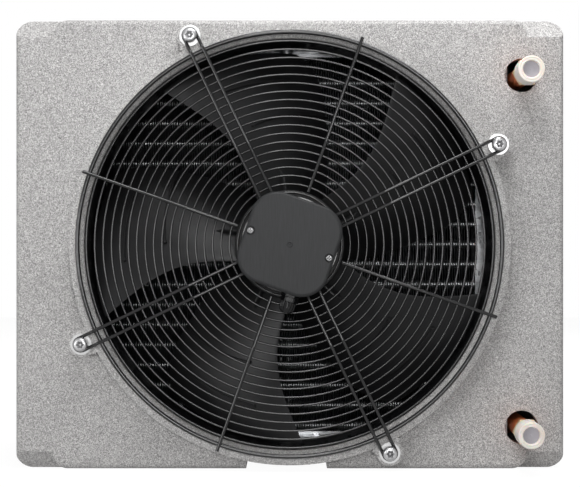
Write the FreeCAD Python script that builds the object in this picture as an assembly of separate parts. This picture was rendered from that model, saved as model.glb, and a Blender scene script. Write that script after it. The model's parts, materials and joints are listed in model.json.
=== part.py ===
import FreeCAD, Part
import math
import os

V = FreeCAD.Vector

# Water fan heater, in millimetres.
# X runs to the right and Y to the front when the fan is looked at from behind, Z is up.
# Depths are measured along Y from the rear plate of the casing, towards the outlet.

# Casing
casing_width = 620.0
casing_height = 508.0
rear_shell_depth = 150.0
front_shell_depth = 130.0
corner_radius = 18.0
rear_edge_round = 6.0
front_edge_round = 12.0
side_wall = 20.0
floor_wall = 19.0
rear_wall = 20.0
front_wall = 18.0
rear_seal_wall = 9.5
front_seal_wall = 11.0
tongue_width = 6.0
tongue_height = 6.0
shell_gap = 0.3
facet_width = 61.0
facet_height = 20.0
facet_drop = 14.0
facet_round = 19.0

# Fan opening in the casing
ring_edge_margin = 6.7
ring_height = 15.0
ring_length_inside = 60.0
ring_lip_round = 5.0
ring_lip_taper = 1.0
ring_lip_taper_length = 2.0
ring_wall = 19.3
nozzle_wall = 3.0
nozzle_set_back = 7.0
nozzle_lip_step = 1.0
nozzle_lip_length = 4.0
nozzle_end_taper = 2.0
nozzle_gap = 0.2

# Bracket channels at top and bottom, and the steel plates above them
channel_centre_x = -3.7
channel_width = 91.5
channel_height = 14.0
channel_depth = 130.0
top_channel_start = 20.0
hanger_width = 80.0
hanger_thickness = 3.0
hanger_start = 62.0
hanger_end_gap = 1.0
insert_depth = 95.0
insert_flange_radius = 10.0
insert_radius = 7.0
insert_length = 16.0
insert_end_wall = 2.0
m10_wall_radius = 4.25
hanger_screw_inset = 4.0
hanger_screw_spacing = 50.0
hanger_screw_radius = 2.0

# Finned coil
fins_left_inset = 50.0
fins_right_inset = 83.0
fin_count = 25
fin_thickness = 1.2
coil_overlap = 10.0
row_spacing = 22.0
tube_pitch = 25.0
tube_radius = 4.76
tube_wall = 0.5
fin_margin = 6.25
fin_end_gap = 3.5
plate_gap = 2.0
sheet = 1.2
plate_flange = 20.0
flange_seat_gap = 0.2
lip_height = 4.0
bend_straight_left = 4.0
bend_straight_right = 1.8
tube_hole_gap = 0.05
coil_screw_radius = 1.5
coil_screw_head_radius = 3.5
coil_screw_head = 2.0

# Headers, stubs, adapters and caps
stub_inset = 48.0
stub_low_z = 46.5
stub_top_inset = 64.0
stub_radius = 11.0
stub_wall = 1.0
header_radius = 11.0
header_wall = 1.0
header_offset = 4.0
header_reach = 8.0
hairpins_per_circuit = 3
stub_hole_radius = 19.0
stub_hole_shift_low = 0.8
stub_hole_shift_high = 1.0
hexagon_flats = 27.0
hexagon_start = -28.0
hexagon_length = 8.0
thread_radius = 13.2
thread_length = 25.0
adapter_bore = 9.5
adapter_stop = 1.0
solder_gap = 0.05
cap_clearance = 0.1
cap_wall = 1.4
cap_length = 25.5
cap_end_gap = 1.0
cap_end_wall = 1.0
cap_disc_radius = 9.15
cap_disc_set_back = 5.0

# Impeller and motor
tip_gap = 3.0
swept_gap = 4.0
hub_outer = 61.5
hub_wall = 3.4
hub_start = -1.0
hub_length = 77.0
hub_web_thickness = 3.0
hub_web_gap = 6.0
blade_count = 5
blade_start = 5.0
blade_depth = 70.0
blade_camber = 7.0
blade_thickness = 2.6
blade_edge_thickness = 1.2
bell_gap = 0.1
bell_wall = 3.0
bell_start = -3.0
bell_end = 67.0
bell_boss_radius = 14.0
bell_boss_gap = 0.5
air_gap = 0.5
shaft_radius = 7.5
shaft_overhang = 2.0
bearing_gap = 0.05
bearing_outer = 17.5
bearing_width = 11.0
bearing_rear_start = -4.0
bearing_front_start = 46.0
bearing_tube_outer = 22.0
bearing_tube_end = 58.0
bearing_shoulder = 3.0
ball_radius = 2.6
ball_count = 8
stator_radius = 44.0
stator_start = 10.0
stator_length = 40.0
rotor_core_overhang = 2.0
end_turn_length = 9.0
end_turn_inner_gap = 5.0
end_turn_outer_gap = 2.0
end_turn_chamfer = 2.0
motor_flange_radius = 46.0
motor_flange_start = -16.0
motor_flange_thickness = 7.0
impeller_screw_circle = 40.0
impeller_screw_radius = 2.0
impeller_screw_head_radius = 4.0
impeller_screw_head = 3.0
impeller_screw_count = 5

# Blades seen from behind: angles of the leading and trailing edge at five radii
blade_root_sink = 1.5
blade_middle_radii = (85.0, 120.0, 165.0)
leading_angles = (199.0, 193.2, 191.4, 195.0, 201.6)
trailing_angles = (127.0, 132.0, 140.0, 147.5, 160.0)
chord_shares = (0.0, 0.15, 0.35, 0.55, 0.78, 1.0)
fence_width = 1.6
fence_height = 4.0

# Fences on a blade: three (angle, radius) stations each, from the hooked end
outer_fence = ((185.6, 189.4), (173.6, 189.6), (161.6, 190.0))
inner_fence = ((179.3, 142.3), (163.0, 149.0), (146.3, 156.0))
root_rib_angle = 170.0
root_rib_outer = 86.0
root_rib_width = 2.0
root_rib_height = 7.0

# Wire guard
double_spoke_angle = 25.6
single_spoke_angle = 70.6
spoke_depth = -28.0
spoke_wire = 1.9
ring_wire = 1.15
outer_ring_inset = 11.0
outer_ring_wire = 2.4
weld_sink = 0.25
first_ring_radius = 58.0
ring_step = 9.335
kink_radius = 121.0
hub_kink_radius = 58.0
double_spoke_inner = 48.0
double_spoke_half_width = 7.2
shoulder_inset = 17.8
foot_inset = 7.8
spoke_bend = 5.0
single_spoke_inner = 62.0
spoke_overhang = 7.2
bolt_offset = 11.5
ear_radius = 14.7
ear_fillet = 10.0
washer_radius = 12.0
washer_thickness = 1.6
washer_bore = 4.3
bolt_radius = 4.0
bolt_length = 34.0
bolt_head_radius = 8.0
bolt_head_height = 4.8
guard_insert_radius = 7.5
guard_insert_length = 33.0
guard_insert_gap = 0.05
hub_plate_radius = 54.0
hub_plate_bore = 20.0
hub_plate_thickness = 2.5
motor_screw_circle = 38.0
motor_screw_radius = 2.5
motor_screw_head_radius = 4.5
motor_screw_head = 3.5
motor_screw_length = 9.0

# Terminal box, with its sides turned by box_turn
box_turn = -19.4
cover_half = 51.7
cover_corner = 30.0
cover_wall = 2.5
cover_rim_round = 4.0
cover_end = -55.0
cover_height = 12.0
gasket_thickness = 1.5
gasket_width = 3.5
box_half = 49.5
box_wall = 2.5
box_floor = -23.0
box_screw_x = 45.5
box_boss_radius = 5.5
cover_screw_radius = 1.7
cover_screw_hole = 2.2
cover_screw_head_radius = 4.0
cover_screw_head = 2.6
cover_recess_radius = 5.1
cover_recess_depth = 3.5
cover_boss_wall = 1.4
cover_screw_length = 16.0
neck_radius = 19.0
neck_wall = 3.5
neck_floor = 2.0
wire_hole_radius = 6.0
neck_screw_x = 11.5
neck_screw_radius = 1.5
neck_screw_head_radius = 2.8
neck_screw_head = 2.0
neck_screw_length = 8.0
gland_x = 19.0
gland_depth = -33.5
gland_thread_radius = 5.9
gland_thread_gap = 0.1
gland_bore = 3.5
gland_flats = 18.0
gland_hexagon = 5.5
gland_nut_length = 18.0
gland_seal_length = 8.0
gland_tube_length = 7.0
gland_tube_radius = 6.5
gland_seal_radius = 6.2
gland_mouth_radius = 4.2
gland_spigot_past_nut = 1.5
locknut_flats = 15.0
locknut_thickness = 2.8
gland_pad_thickness = 1.5
gland_pad_margin = 1.0
gland_dome_length = 6.0
gland_dome_step = 1.5
gland_dome_end = 2.5
capacitor_radius = 10.5
capacitor_length = 52.0
capacitor_z = 17.0
capacitor_gap = 0.5
saddle_width = 3.0
saddle_height = 4.0
saddle_inset = 8.0
saddle_gap = 0.1
terminal_block_size = (36.0, 15.0, 14.0)
terminal_block_centre = (-14.0, -30.0)
terminal_ways = 4
terminal_screw_radius = 2.4

# Outlet frame and vanes
outlet_side_margin = 88.0
outlet_end_margin = 44.0
outlet_corner = 3.0
frame_corner = 6.0
frame_flange_corner = 14.0
frame_wall = 4.0
frame_back_gap = 11.0
frame_flange = 14.0
frame_flange_thickness = 3.0
frame_set_back = 3.0
frame_gap = 0.2
frame_screw_rows = 5
frame_screw_radius = 1.9
frame_screw_head_radius = 4.0
frame_screw_head = 2.4
frame_screw_length = 14.0
frame_screw_end = 30.0
vane_count = 6
vane_chord = 64.0
vane_thickness = 9.0
vane_edge = 2.0
vane_shift = 7.0
pin_radius = 4.0
pin_gap = 0.1
pin_length = 7.0
pin_root = 1.0
bush_wall = 1.9
bush_flange = 0.8
bush_flange_radius = 7.5
bush_length = 6.0
vane_end_gap = 0.3

# Clips that hold the two shells together
clip_length = 60.0
clip_width = 26.0
clip_thickness = 1.5
clip_pocket = 4.0
clip_edge_gap = 1.0
clip_end_distance = 120.0
clip_screw_radius = 2.0
clip_screw_head_radius = 4.0
clip_screw_head = 2.0
clip_screw_length = 14.0
clip_screw_spread = 44.0

# How far a cutting tool runs past the face that it cuts
over = 1.0

# From a hexagon's corner to the middle of its next side, in degrees
hexagon_half_turn = 30

# Values worked out from the ones above
casing_depth = rear_shell_depth + front_shell_depth
hexagon_end = hexagon_start - hexagon_length
thread_end = hexagon_end - thread_length
cap_end = thread_end - cap_end_gap - cap_end_wall
rear_plate_y = -(casing_depth + cap_end) / 2
axis_z = casing_height / 2
half_width = casing_width / 2
ring_outer = casing_height / 2 - ring_edge_margin
nozzle_radius = ring_outer - ring_wall
impeller_tip = nozzle_radius - tip_gap
blade_radii = (hub_outer - blade_root_sink,) + blade_middle_radii + (impeller_tip,)
outer_ring_radius = ring_outer - outer_ring_inset
ring_count = int((outer_ring_radius - first_ring_radius) / ring_step)
single_spoke_outer = outer_ring_radius + spoke_overhang
bolt_circle_radius = ring_outer + bolt_offset
shoulder_radius = bolt_circle_radius - shoulder_inset
foot_radius = bolt_circle_radius - foot_inset
fins_left = fins_left_inset - half_width
fins_right = half_width - fins_right_inset
stub_x = half_width - stub_inset
stub_high_z = casing_height - stub_top_inset
outlet_width = casing_width - 2 * outlet_side_margin
outlet_height = casing_height - 2 * outlet_end_margin
clip_heights = (clip_end_distance, casing_height - clip_end_distance)
coil_start = rear_shell_depth - coil_overlap
hanger_end = rear_shell_depth - hanger_end_gap
hanger_screw_depth = coil_start + hanger_screw_inset
rear_row_depth = coil_start + row_spacing / 2
front_row_depth = rear_row_depth + row_spacing
coil_end = coil_start + 2 * row_spacing
frame_back = coil_end + frame_back_gap
frame_flange_depth = casing_depth - frame_set_back
vane_pivot_depth = (frame_back + frame_flange_depth) / 2 - vane_shift
coil_room = casing_height - 2 * (floor_wall + fin_end_gap) - tube_pitch / 2
circuit_count = int(coil_room / (hairpins_per_circuit * tube_pitch))
hairpin_count = circuit_count * hairpins_per_circuit
fins_height = (hairpin_count + 0.5) * tube_pitch
fins_bottom = axis_z - fins_height / 2
fins_top = axis_z + fins_height / 2
rear_row_first = fins_bottom + fin_margin
plate_left = fins_left - plate_gap
plate_right = fins_right + plate_gap
supply_depth = rear_row_depth - header_offset
return_depth = front_row_depth + header_offset
tubes_left = plate_left - sheet - bend_straight_left
tubes_right = plate_right + sheet + bend_straight_right
nozzle_outer = nozzle_radius + nozzle_wall
bell_outer = hub_outer - hub_wall - bell_gap
bell_inner = bell_outer - bell_wall
hub_plate_depth = motor_flange_start - hub_plate_thickness
spoke_hub_depth = hub_plate_depth - spoke_wire
ear_depth = -ring_height
washer_depth = ear_depth - washer_thickness
foot_depth = washer_depth - spoke_wire
bolt_seat_depth = foot_depth - spoke_wire
quarter_turns = (0, 90, 180, 270)
vane_pitch = outlet_height / vane_count


def y_at(depth):
    return depth + rear_plate_y


def block(x0, x1, d0, d1, z0, z1):
    """A box between two X values, two depths and two heights."""
    return Part.makeBox(x1 - x0, d1 - d0, z1 - z0, V(x0, y_at(d0), z0))


def disc(radius, d0, d1, x=0.0, z=axis_z):
    """A cylinder along Y between two depths."""
    return Part.makeCylinder(radius, d1 - d0, V(x, y_at(d0), z), V(0, 1, 0))


def sleeve(outer, inner, d0, d1, x=0.0, z=axis_z):
    return disc(outer, d0, d1, x, z).cut(disc(inner, d0, d1, x, z))


def rod(radius, start, end):
    return Part.makeCylinder(radius, (end - start).Length, start, end - start)


def pipe(outer, inner, start, end):
    return rod(outer, start, end).cut(rod(inner, start, end))


def joined(shapes):
    """One solid out of pieces that run into each other."""
    return shapes[0].fuse(shapes[1:]).removeSplitter()


def polar(angle, radius, depth):
    """A point at an angle and radius about the fan axis, seen from behind."""
    turn = math.radians(angle)
    return V(radius * math.cos(turn), y_at(depth), axis_z + radius * math.sin(turn))


def turned(shape, angle):
    """A copy turned anticlockwise about the fan axis, seen from behind."""
    copy = shape.copy()
    copy.rotate(V(0, 0, axis_z), V(0, -1, 0), angle)
    return copy


def rounded_outline(x0, x1, z0, z1, radius, depth):
    """A closed wire, a rectangle with round corners, in a plane across Y."""
    y = y_at(depth)
    corners = (
        (x1 - radius, z1 - radius, 0),
        (x0 + radius, z1 - radius, 90),
        (x0 + radius, z0 + radius, 180),
        (x1 - radius, z0 + radius, 270),
    )
    arcs = []
    for x, z, start in corners:
        points = []
        for angle in (start, start + 45, start + 90):
            turn = math.radians(angle)
            points.append(V(x + radius * math.cos(turn), y, z + radius * math.sin(turn)))
        arcs.append(points)
    edges = []
    for index, points in enumerate(arcs):
        edges.append(Part.Arc(*points).toShape())
        edges.append(Part.makeLine(points[2], arcs[(index + 1) % 4][0]))
    return Part.Wire(edges)


def rounded_block(x0, x1, z0, z1, radius, d0, d1):
    """A prism along Y with round corners."""
    face = Part.Face(rounded_outline(x0, x1, z0, z1, radius, d0))
    return face.extrude(V(0, d1 - d0, 0))


def centred_block(half, radius, d0, d1):
    return rounded_block(-half, half, axis_z - half, axis_z + half, radius, d0, d1)


def revolved(profile, x=0.0, z=axis_z):
    """A ring turned about an axis along Y, from (radius, depth) corners."""
    points = [V(x + radius, y_at(depth), z) for radius, depth in profile]
    face = Part.Face(Part.makePolygon(points + points[:1]))
    return face.revolve(V(x, 0, z), V(0, 1, 0), 360)


def hexagon_prism(flats, start, end):
    """A hexagonal bar between two points, with a corner up or along X."""
    length = end - start
    bar = Part.Face(Part.makePolygon([
        V(
            flats / math.sqrt(3) * math.sin(math.radians(2 * hexagon_half_turn * corner)),
            flats / math.sqrt(3) * math.cos(math.radians(2 * hexagon_half_turn * corner)),
            0,
        )
        for corner in range(7)
    ])).extrude(V(0, 0, length.Length))
    bar.Placement = FreeCAD.Placement(start, FreeCAD.Rotation(V(0, 0, 1), length))
    return bar


def run_edges(points, bend):
    """Straight runs joined by tangent arcs of one radius."""
    edges = []
    start = points[0]
    for before, corner, after in zip(points, points[1:], points[2:]):
        incoming = (corner - before).normalize()
        outgoing = (after - corner).normalize()
        turn = incoming.getAngle(outgoing)
        reach = bend * math.tan(turn / 2)
        first = corner - incoming * reach
        last = corner + outgoing * reach
        inward = (outgoing - incoming).normalize()
        middle = corner + inward * (bend / math.cos(turn / 2) - bend)
        edges.append(Part.makeLine(start, first))
        edges.append(Part.Arc(first, middle, last).toShape())
        start = last
    edges.append(Part.makeLine(start, points[-1]))
    return edges


def wire_along(edges, radius):
    """A round wire that follows joined edges."""
    path = Part.Wire(edges)
    first = edges[0]
    direction = first.tangentAt(first.FirstParameter)
    section = Part.Wire([Part.makeCircle(radius, first.valueAt(first.FirstParameter), direction)])
    return path.makePipeShell([section], True, False)


def pan_screw(head_radius, head_height, radius, length, seat, out):
    """A pan head on a shank; seat is under the head and out points away from the work."""
    dome = head_height / 3
    corners = (
        (0, 0),
        (head_radius, 0),
        (head_radius, head_height - dome),
        (head_radius - dome, head_height),
        (0, head_height),
    )
    points = [V(r, 0, h) for r, h in corners]
    head = Part.Face(Part.makePolygon(points + points[:1])).revolve(V(0, 0, 0), V(0, 0, 1), 360)
    shank = Part.makeCylinder(radius, length, V(0, 0, -length))
    screw = joined([head, shank])
    screw.Placement = FreeCAD.Placement(seat, FreeCAD.Rotation(V(0, 0, 1), out))
    return screw


def bolt_places():
    return [double_spoke_angle + turn for turn in quarter_turns]


def clip_places():
    """Side (1 right, -1 left) and height of each clip."""
    return [(side, height) for side in (1, -1) for height in clip_heights]


def clip_screw_depths():
    middle = rear_shell_depth
    return (middle - clip_screw_spread / 2, middle + clip_screw_spread / 2)


def side_rod(side, radius, x_from, x_to, depth, z):
    """A cylinder along X on the right (1) or left (-1) of the casing."""
    start = V(side * x_from, y_at(depth), z)
    end = V(side * x_to, y_at(depth), z)
    return rod(radius, start, end)


def clip_cuts():
    """Pockets and screw holes for the clips."""
    cuts = []
    half_length = clip_length / 2 + clip_edge_gap
    half_clip = clip_width / 2 + clip_edge_gap
    bottom = half_width - clip_pocket
    for side, height in clip_places():
        x0, x1 = sorted((side * bottom, side * (half_width + over)))
        d0 = rear_shell_depth - half_length
        d1 = rear_shell_depth + half_length
        cuts.append(block(x0, x1, d0, d1, height - half_clip, height + half_clip))
        for depth in clip_screw_depths():
            tip = bottom + clip_thickness - clip_screw_length
            cuts.append(side_rod(side, clip_screw_radius, tip, bottom + over, depth, height))
    return cuts


def cavity(d0, d1):
    """Inside of a shell."""
    return block(
        -half_width + side_wall, half_width - side_wall, d0, d1, floor_wall, casing_height - floor_wall
    )


def joint_ring(extra, d0, d1):
    """The tongue, or with extra clearance its groove, in the middle of the walls."""
    inset = (side_wall - tongue_width) / 2
    outer = inset - extra
    inner = inset + tongue_width + extra
    big = block(
        -half_width + outer, half_width - outer, d0, d1, outer, casing_height - outer
    )
    small = block(
        -half_width + inner, half_width - inner, d0, d1, inner, casing_height - inner
    )
    return big.cut(small)


def facet_cut(side, top):
    """The wedge that lowers one rear corner towards the top or bottom edge."""
    edge = casing_height if top else 0.0
    inward = -1.0 if top else 1.0
    crease = edge + inward * facet_height
    points = [
        V(0, y_at(0), crease),
        V(0, y_at(facet_drop), edge),
        V(0, y_at(facet_drop) - over, edge - inward * over),
        V(0, y_at(-over), edge - inward * over),
        V(0, y_at(-over), crease),
    ]
    wedge = Part.Face(Part.makePolygon(points + points[:1])).extrude(V(facet_width + over, 0, 0))
    wedge.translate(V(half_width - facet_width, 0, 0))
    keep_x = half_width - facet_width
    keep_z = edge + inward * facet_round
    keep = disc(facet_round, -2 * over, facet_drop + over, keep_x, keep_z)
    wedge = wedge.cut(keep)
    if side < 0:
        wedge = wedge.mirror(V(0, 0, 0), V(1, 0, 0))
    return wedge


def ear(angle):
    """The boss under one guard bolt, blended into the ring with two round fillets."""
    far = ring_outer + ear_fillet
    near = ear_radius + ear_fillet
    cosine = (bolt_circle_radius ** 2 + far ** 2 - near ** 2) / (2 * bolt_circle_radius * far)
    spread = math.degrees(math.acos(cosine))
    base = polar(angle, ring_outer - ear_radius, ear_depth)
    one = polar(angle + spread, far, ear_depth)
    tip = polar(angle, bolt_circle_radius, ear_depth)
    two = polar(angle - spread, far, ear_depth)
    filler = Part.Face(Part.makePolygon([base, one, tip, two, base])).extrude(V(0, ring_height, 0))
    fillets = [disc(ear_fillet, ear_depth, 0, centre.x, centre.z) for centre in (one, two)]
    boss = disc(ear_radius, ear_depth, 0, tip.x, tip.z)
    return joined([filler.cut(fillets), boss])


def channel_cut(top):
    """The lower channel is open at the rear, and the upper one is a pocket behind the rear plate."""
    x0 = channel_centre_x - channel_width / 2
    x1 = channel_centre_x + channel_width / 2
    if top:
        z0 = casing_height - channel_height
        return block(x0, x1, top_channel_start, channel_depth, z0, casing_height + over)
    return block(x0, x1, 0, channel_depth, -over, channel_height)


def mirrored_top(shape):
    """The same piece at the top of the casing."""
    return shape.mirror(V(0, 0, axis_z), V(0, 0, 1))


def hanger_cut():
    """Pocket in the floor of the casing for the lower hanger plate and its insert."""
    x0 = channel_centre_x - hanger_width / 2 - shell_gap
    x1 = channel_centre_x + hanger_width / 2 + shell_gap
    pocket = block(
        x0, x1, hanger_start - shell_gap, hanger_end + shell_gap,
        floor_wall - hanger_thickness, floor_wall + over,
    )
    centre = V(channel_centre_x, y_at(insert_depth), 0)
    hole = Part.makeCylinder(insert_flange_radius, floor_wall, centre)
    return [pocket, hole]


def rear_shell():
    body = rounded_block(-half_width, half_width, 0, casing_height, corner_radius, 0, rear_shell_depth)
    rear_edges = [edge for edge in body.Edges if abs(edge.BoundBox.YMax - y_at(0)) < 1e-6]
    body = body.makeFillet(rear_edge_round, rear_edges)
    body = body.cut(cavity(rear_wall, rear_shell_depth))
    seal_end = coil_start - sheet - shell_gap
    wall_top = casing_height - floor_wall
    partition_right = plate_right + plate_flange
    partition_left = plate_left - plate_flange
    partitions = [
        block(partition_right - rear_seal_wall, partition_right, rear_wall, seal_end, floor_wall, wall_top),
        block(partition_left, partition_left + rear_seal_wall, rear_wall, seal_end, floor_wall, wall_top),
    ]
    ring = disc(ring_outer, ear_depth, ring_length_inside)
    body = joined([body, ring] + partitions + [ear(angle) for angle in bolt_places()])
    bore = nozzle_outer + nozzle_gap
    lip = revolved((
        (0, ear_depth - over),
        (bore + ring_lip_round, ear_depth - over),
        (bore + ring_lip_round, ear_depth),
        (bore + ring_lip_taper, ear_depth + ring_lip_round),
        (bore, ear_depth + ring_lip_round + ring_lip_taper_length),
        (bore, ring_length_inside + over),
        (0, ring_length_inside + over),
    ))
    swept = disc(bore, ring_length_inside, hub_start + hub_length + swept_gap)
    cuts = [lip, swept]
    for height in (stub_low_z + stub_hole_shift_low, stub_high_z + stub_hole_shift_high):
        cuts.append(disc(stub_hole_radius, -over, rear_wall + over, stub_x, height))
    for angle in bolt_places():
        centre = polar(angle, bolt_circle_radius, 0)
        end = ear_depth + guard_insert_length
        cuts.append(disc(guard_insert_radius, ear_depth - over, end, centre.x, centre.z))
    for side in (1, -1):
        for top in (True, False):
            cuts.append(facet_cut(side, top))
    cuts += [channel_cut(True), channel_cut(False)]
    for tool in hanger_cut():
        cuts += [tool, mirrored_top(tool)]
    cuts.append(joint_ring(shell_gap, rear_shell_depth - tongue_height - shell_gap, rear_shell_depth + over))
    cuts += clip_cuts()
    return body.cut(cuts)


def frame_screw_places():
    """X and Z of each screw in the outlet frame's flange."""
    x = outlet_width / 2 + frame_wall + frame_flange / 2
    low = axis_z - outlet_height / 2 + frame_screw_end
    step = (outlet_height - 2 * frame_screw_end) / (frame_screw_rows - 1)
    return [(side * x, low + step * row) for side in (1, -1) for row in range(frame_screw_rows)]


def outlet_block(extra, corner, d0, d1):
    """A block as large as the outlet plus something on every side."""
    half_x = outlet_width / 2 + extra
    half_z = outlet_height / 2 + extra
    return rounded_block(-half_x, half_x, axis_z - half_z, axis_z + half_z, corner, d0, d1)


def front_shell():
    body = rounded_block(
        -half_width, half_width, 0, casing_height, corner_radius, rear_shell_depth, casing_depth
    )
    front_edges = [edge for edge in body.Edges if abs(edge.BoundBox.YMin - y_at(casing_depth)) < 1e-6]
    body = body.makeFillet(front_edge_round, front_edges)
    body = body.cut(cavity(rear_shell_depth, casing_depth - front_wall))
    seal_start = coil_end + sheet + shell_gap
    wall_top = casing_height - floor_wall
    inner_end = casing_depth - front_wall
    partitions = [
        block(x0, x0 + front_seal_wall, seal_start, inner_end, floor_wall, wall_top)
        for x0 in (plate_left - plate_flange, plate_right)
    ]
    tongue = joint_ring(0, rear_shell_depth - tongue_height, rear_shell_depth)
    body = joined([body, tongue] + partitions)
    rebate_start = frame_flange_depth - frame_flange_thickness
    cuts = [
        outlet_block(frame_wall + frame_gap, frame_corner, inner_end - over, casing_depth + over),
        outlet_block(
            frame_wall + frame_flange + shell_gap, frame_flange_corner, rebate_start, casing_depth + over
        ),
    ]
    for x, z in frame_screw_places():
        cuts.append(disc(frame_screw_radius, frame_flange_depth - frame_screw_length, casing_depth, x, z))
    cuts += clip_cuts()
    return body.cut(cuts)


def outlet_frame():
    front = frame_flange_depth
    duct = outlet_block(frame_wall, frame_corner, frame_back, front)
    flange = outlet_block(
        frame_wall + frame_flange, frame_flange_corner, front - frame_flange_thickness, front
    )
    body = joined([duct, flange])
    cuts = [outlet_block(0, outlet_corner, frame_back - over, front + over)]
    for x, z in frame_screw_places():
        cuts.append(disc(frame_screw_radius, frame_back, front + over, x, z))
    inside = outlet_width / 2
    for z in vane_heights():
        for side in (1, -1):
            hole = pin_radius + pin_gap + bush_wall
            cuts.append(side_rod(side, hole, inside - over, inside + frame_wall + over, vane_pivot_depth, z))
    return body.cut(cuts)


def frame_screws():
    screws = []
    for x, z in frame_screw_places():
        seat = V(x, y_at(frame_flange_depth), z)
        screws.append(pan_screw(
            frame_screw_head_radius, frame_screw_head, frame_screw_radius, frame_screw_length,
            seat, V(0, 1, 0),
        ))
    return Part.Compound(screws)


def vane_heights():
    low = axis_z - outlet_height / 2
    return [low + vane_pitch * (index + 0.5) for index in range(vane_count)]


def vane(z):
    """A lens-shaped blade with a pin at each end."""
    half_length = outlet_width / 2 - bush_flange - vane_end_gap
    half_chord = vane_chord / 2
    edge = vane_edge / 2
    body = vane_thickness / 2
    nose = half_chord - edge

    def point(along, up):
        return V(-half_length, y_at(vane_pivot_depth + along), z + up)

    outline = Part.Wire([
        Part.Arc(point(-nose, edge), point(0, body), point(nose, edge)).toShape(),
        Part.Arc(point(nose, edge), point(half_chord, 0), point(nose, -edge)).toShape(),
        Part.Arc(point(nose, -edge), point(0, -body), point(-nose, -edge)).toShape(),
        Part.Arc(point(-nose, -edge), point(-half_chord, 0), point(-nose, edge)).toShape(),
    ])
    blade = Part.Face(outline).extrude(V(2 * half_length, 0, 0))
    pins = [
        side_rod(side, pin_radius, half_length - pin_root, half_length + pin_length, vane_pivot_depth, z)
        for side in (1, -1)
    ]
    return joined([blade] + pins)


def vane_bushes():
    bushes = []
    inside = outlet_width / 2
    bore = pin_radius + pin_gap
    for z in vane_heights():
        for side in (1, -1):
            flange = side_rod(side, bush_flange_radius, inside - bush_flange, inside, vane_pivot_depth, z)
            tube = side_rod(side, bore + bush_wall, inside, inside + bush_length, vane_pivot_depth, z)
            near = inside - bush_flange - over
            far = inside + bush_length + over
            hole = side_rod(side, bore, near, far, vane_pivot_depth, z)
            bushes.append(joined([flange, tube]).cut(hole))
    return Part.Compound(bushes)


def shell_clips():
    clips = []
    bottom = half_width - clip_pocket
    for side, height in clip_places():
        x0, x1 = sorted((side * bottom, side * (bottom + clip_thickness)))
        plate = block(
            x0, x1, rear_shell_depth - clip_length / 2, rear_shell_depth + clip_length / 2,
            height - clip_width / 2, height + clip_width / 2,
        )
        holes = [
            side_rod(side, clip_screw_radius, bottom - over, half_width, depth, height)
            for depth in clip_screw_depths()
        ]
        clips.append(plate.cut(holes))
    return Part.Compound(clips)


def clip_screws():
    screws = []
    seat_x = half_width - clip_pocket + clip_thickness
    for side, height in clip_places():
        for depth in clip_screw_depths():
            seat = V(side * seat_x, y_at(depth), height)
            screws.append(pan_screw(
                clip_screw_head_radius, clip_screw_head, clip_screw_radius, clip_screw_length,
                seat, V(side, 0, 0),
            ))
    return Part.Compound(screws)


def hanger_screw_places():
    half = hanger_screw_spacing / 2
    return (channel_centre_x - half, channel_centre_x + half)


def hanger_plate():
    """Steel plate on the casing floor with an M10 insert that reaches the channel."""
    plate = block(
        channel_centre_x - hanger_width / 2, channel_centre_x + hanger_width / 2,
        hanger_start, hanger_end, floor_wall - hanger_thickness, floor_wall,
    )
    foot = V(channel_centre_x, y_at(insert_depth), channel_height)
    flange = Part.makeCylinder(insert_flange_radius, floor_wall - channel_height, foot)
    barrel = Part.makeCylinder(insert_radius, insert_length + insert_end_wall, foot)
    bore = Part.makeCylinder(m10_wall_radius, insert_length, foot)
    body = joined([plate, flange, barrel]).cut(bore)
    holes = [
        Part.makeCylinder(
            hanger_screw_radius, hanger_thickness + 2 * over,
            V(x, y_at(hanger_screw_depth), floor_wall - hanger_thickness - over),
        )
        for x in hanger_screw_places()
    ]
    return body.cut(holes)


def hanger_screws():
    seat_z = floor_wall + flange_seat_gap + sheet
    length = seat_z - (floor_wall - hanger_thickness)
    lower = [
        pan_screw(
            coil_screw_head_radius, coil_screw_head, hanger_screw_radius, length,
            V(x, y_at(hanger_screw_depth), seat_z), V(0, 0, 1),
        )
        for x in hanger_screw_places()
    ]
    return Part.Compound(lower + [mirrored_top(screw) for screw in lower])


def tube_places():
    """Depth and height of every tube, hairpin by hairpin: rear leg, then front leg."""
    places = []
    for index in range(hairpin_count):
        z = rear_row_first + index * tube_pitch
        places.append((rear_row_depth, z))
        places.append((front_row_depth, z + tube_pitch / 2))
    return places


def holed_sheet(x, thickness, d0, d1, z0, z1, hole_radius):
    """A sheet across X with a hole for every tube."""
    corners = [V(x, y_at(d), z) for d, z in ((d0, z0), (d1, z0), (d1, z1), (d0, z1), (d0, z0))]
    wires = [Part.makePolygon(corners)]
    for depth, z in tube_places():
        wires.append(Part.Wire([Part.makeCircle(hole_radius, V(x, y_at(depth), z), V(1, 0, 0))]))
    holes = [Part.Face(wire) for wire in wires[1:]]
    return Part.Face(wires[0]).cut(holes).extrude(V(thickness, 0, 0))


def coil_fins():
    first = holed_sheet(
        fins_left, fin_thickness, coil_start, coil_end, fins_bottom, fins_top, tube_radius + tube_hole_gap
    )
    step = (fins_right - fins_left - fin_thickness) / (fin_count - 1)
    fins = []
    for index in range(fin_count):
        fin = first.copy()
        fin.translate(V(step * index, 0, 0))
        fins.append(fin)
    return Part.Compound(fins)


def coil_tubes():
    tubes = []
    for depth, z in tube_places():
        start = V(tubes_left, y_at(depth), z)
        end = V(tubes_right, y_at(depth), z)
        tubes.append(pipe(tube_radius, tube_radius - tube_wall, start, end))
    return Part.Compound(tubes)


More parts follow.
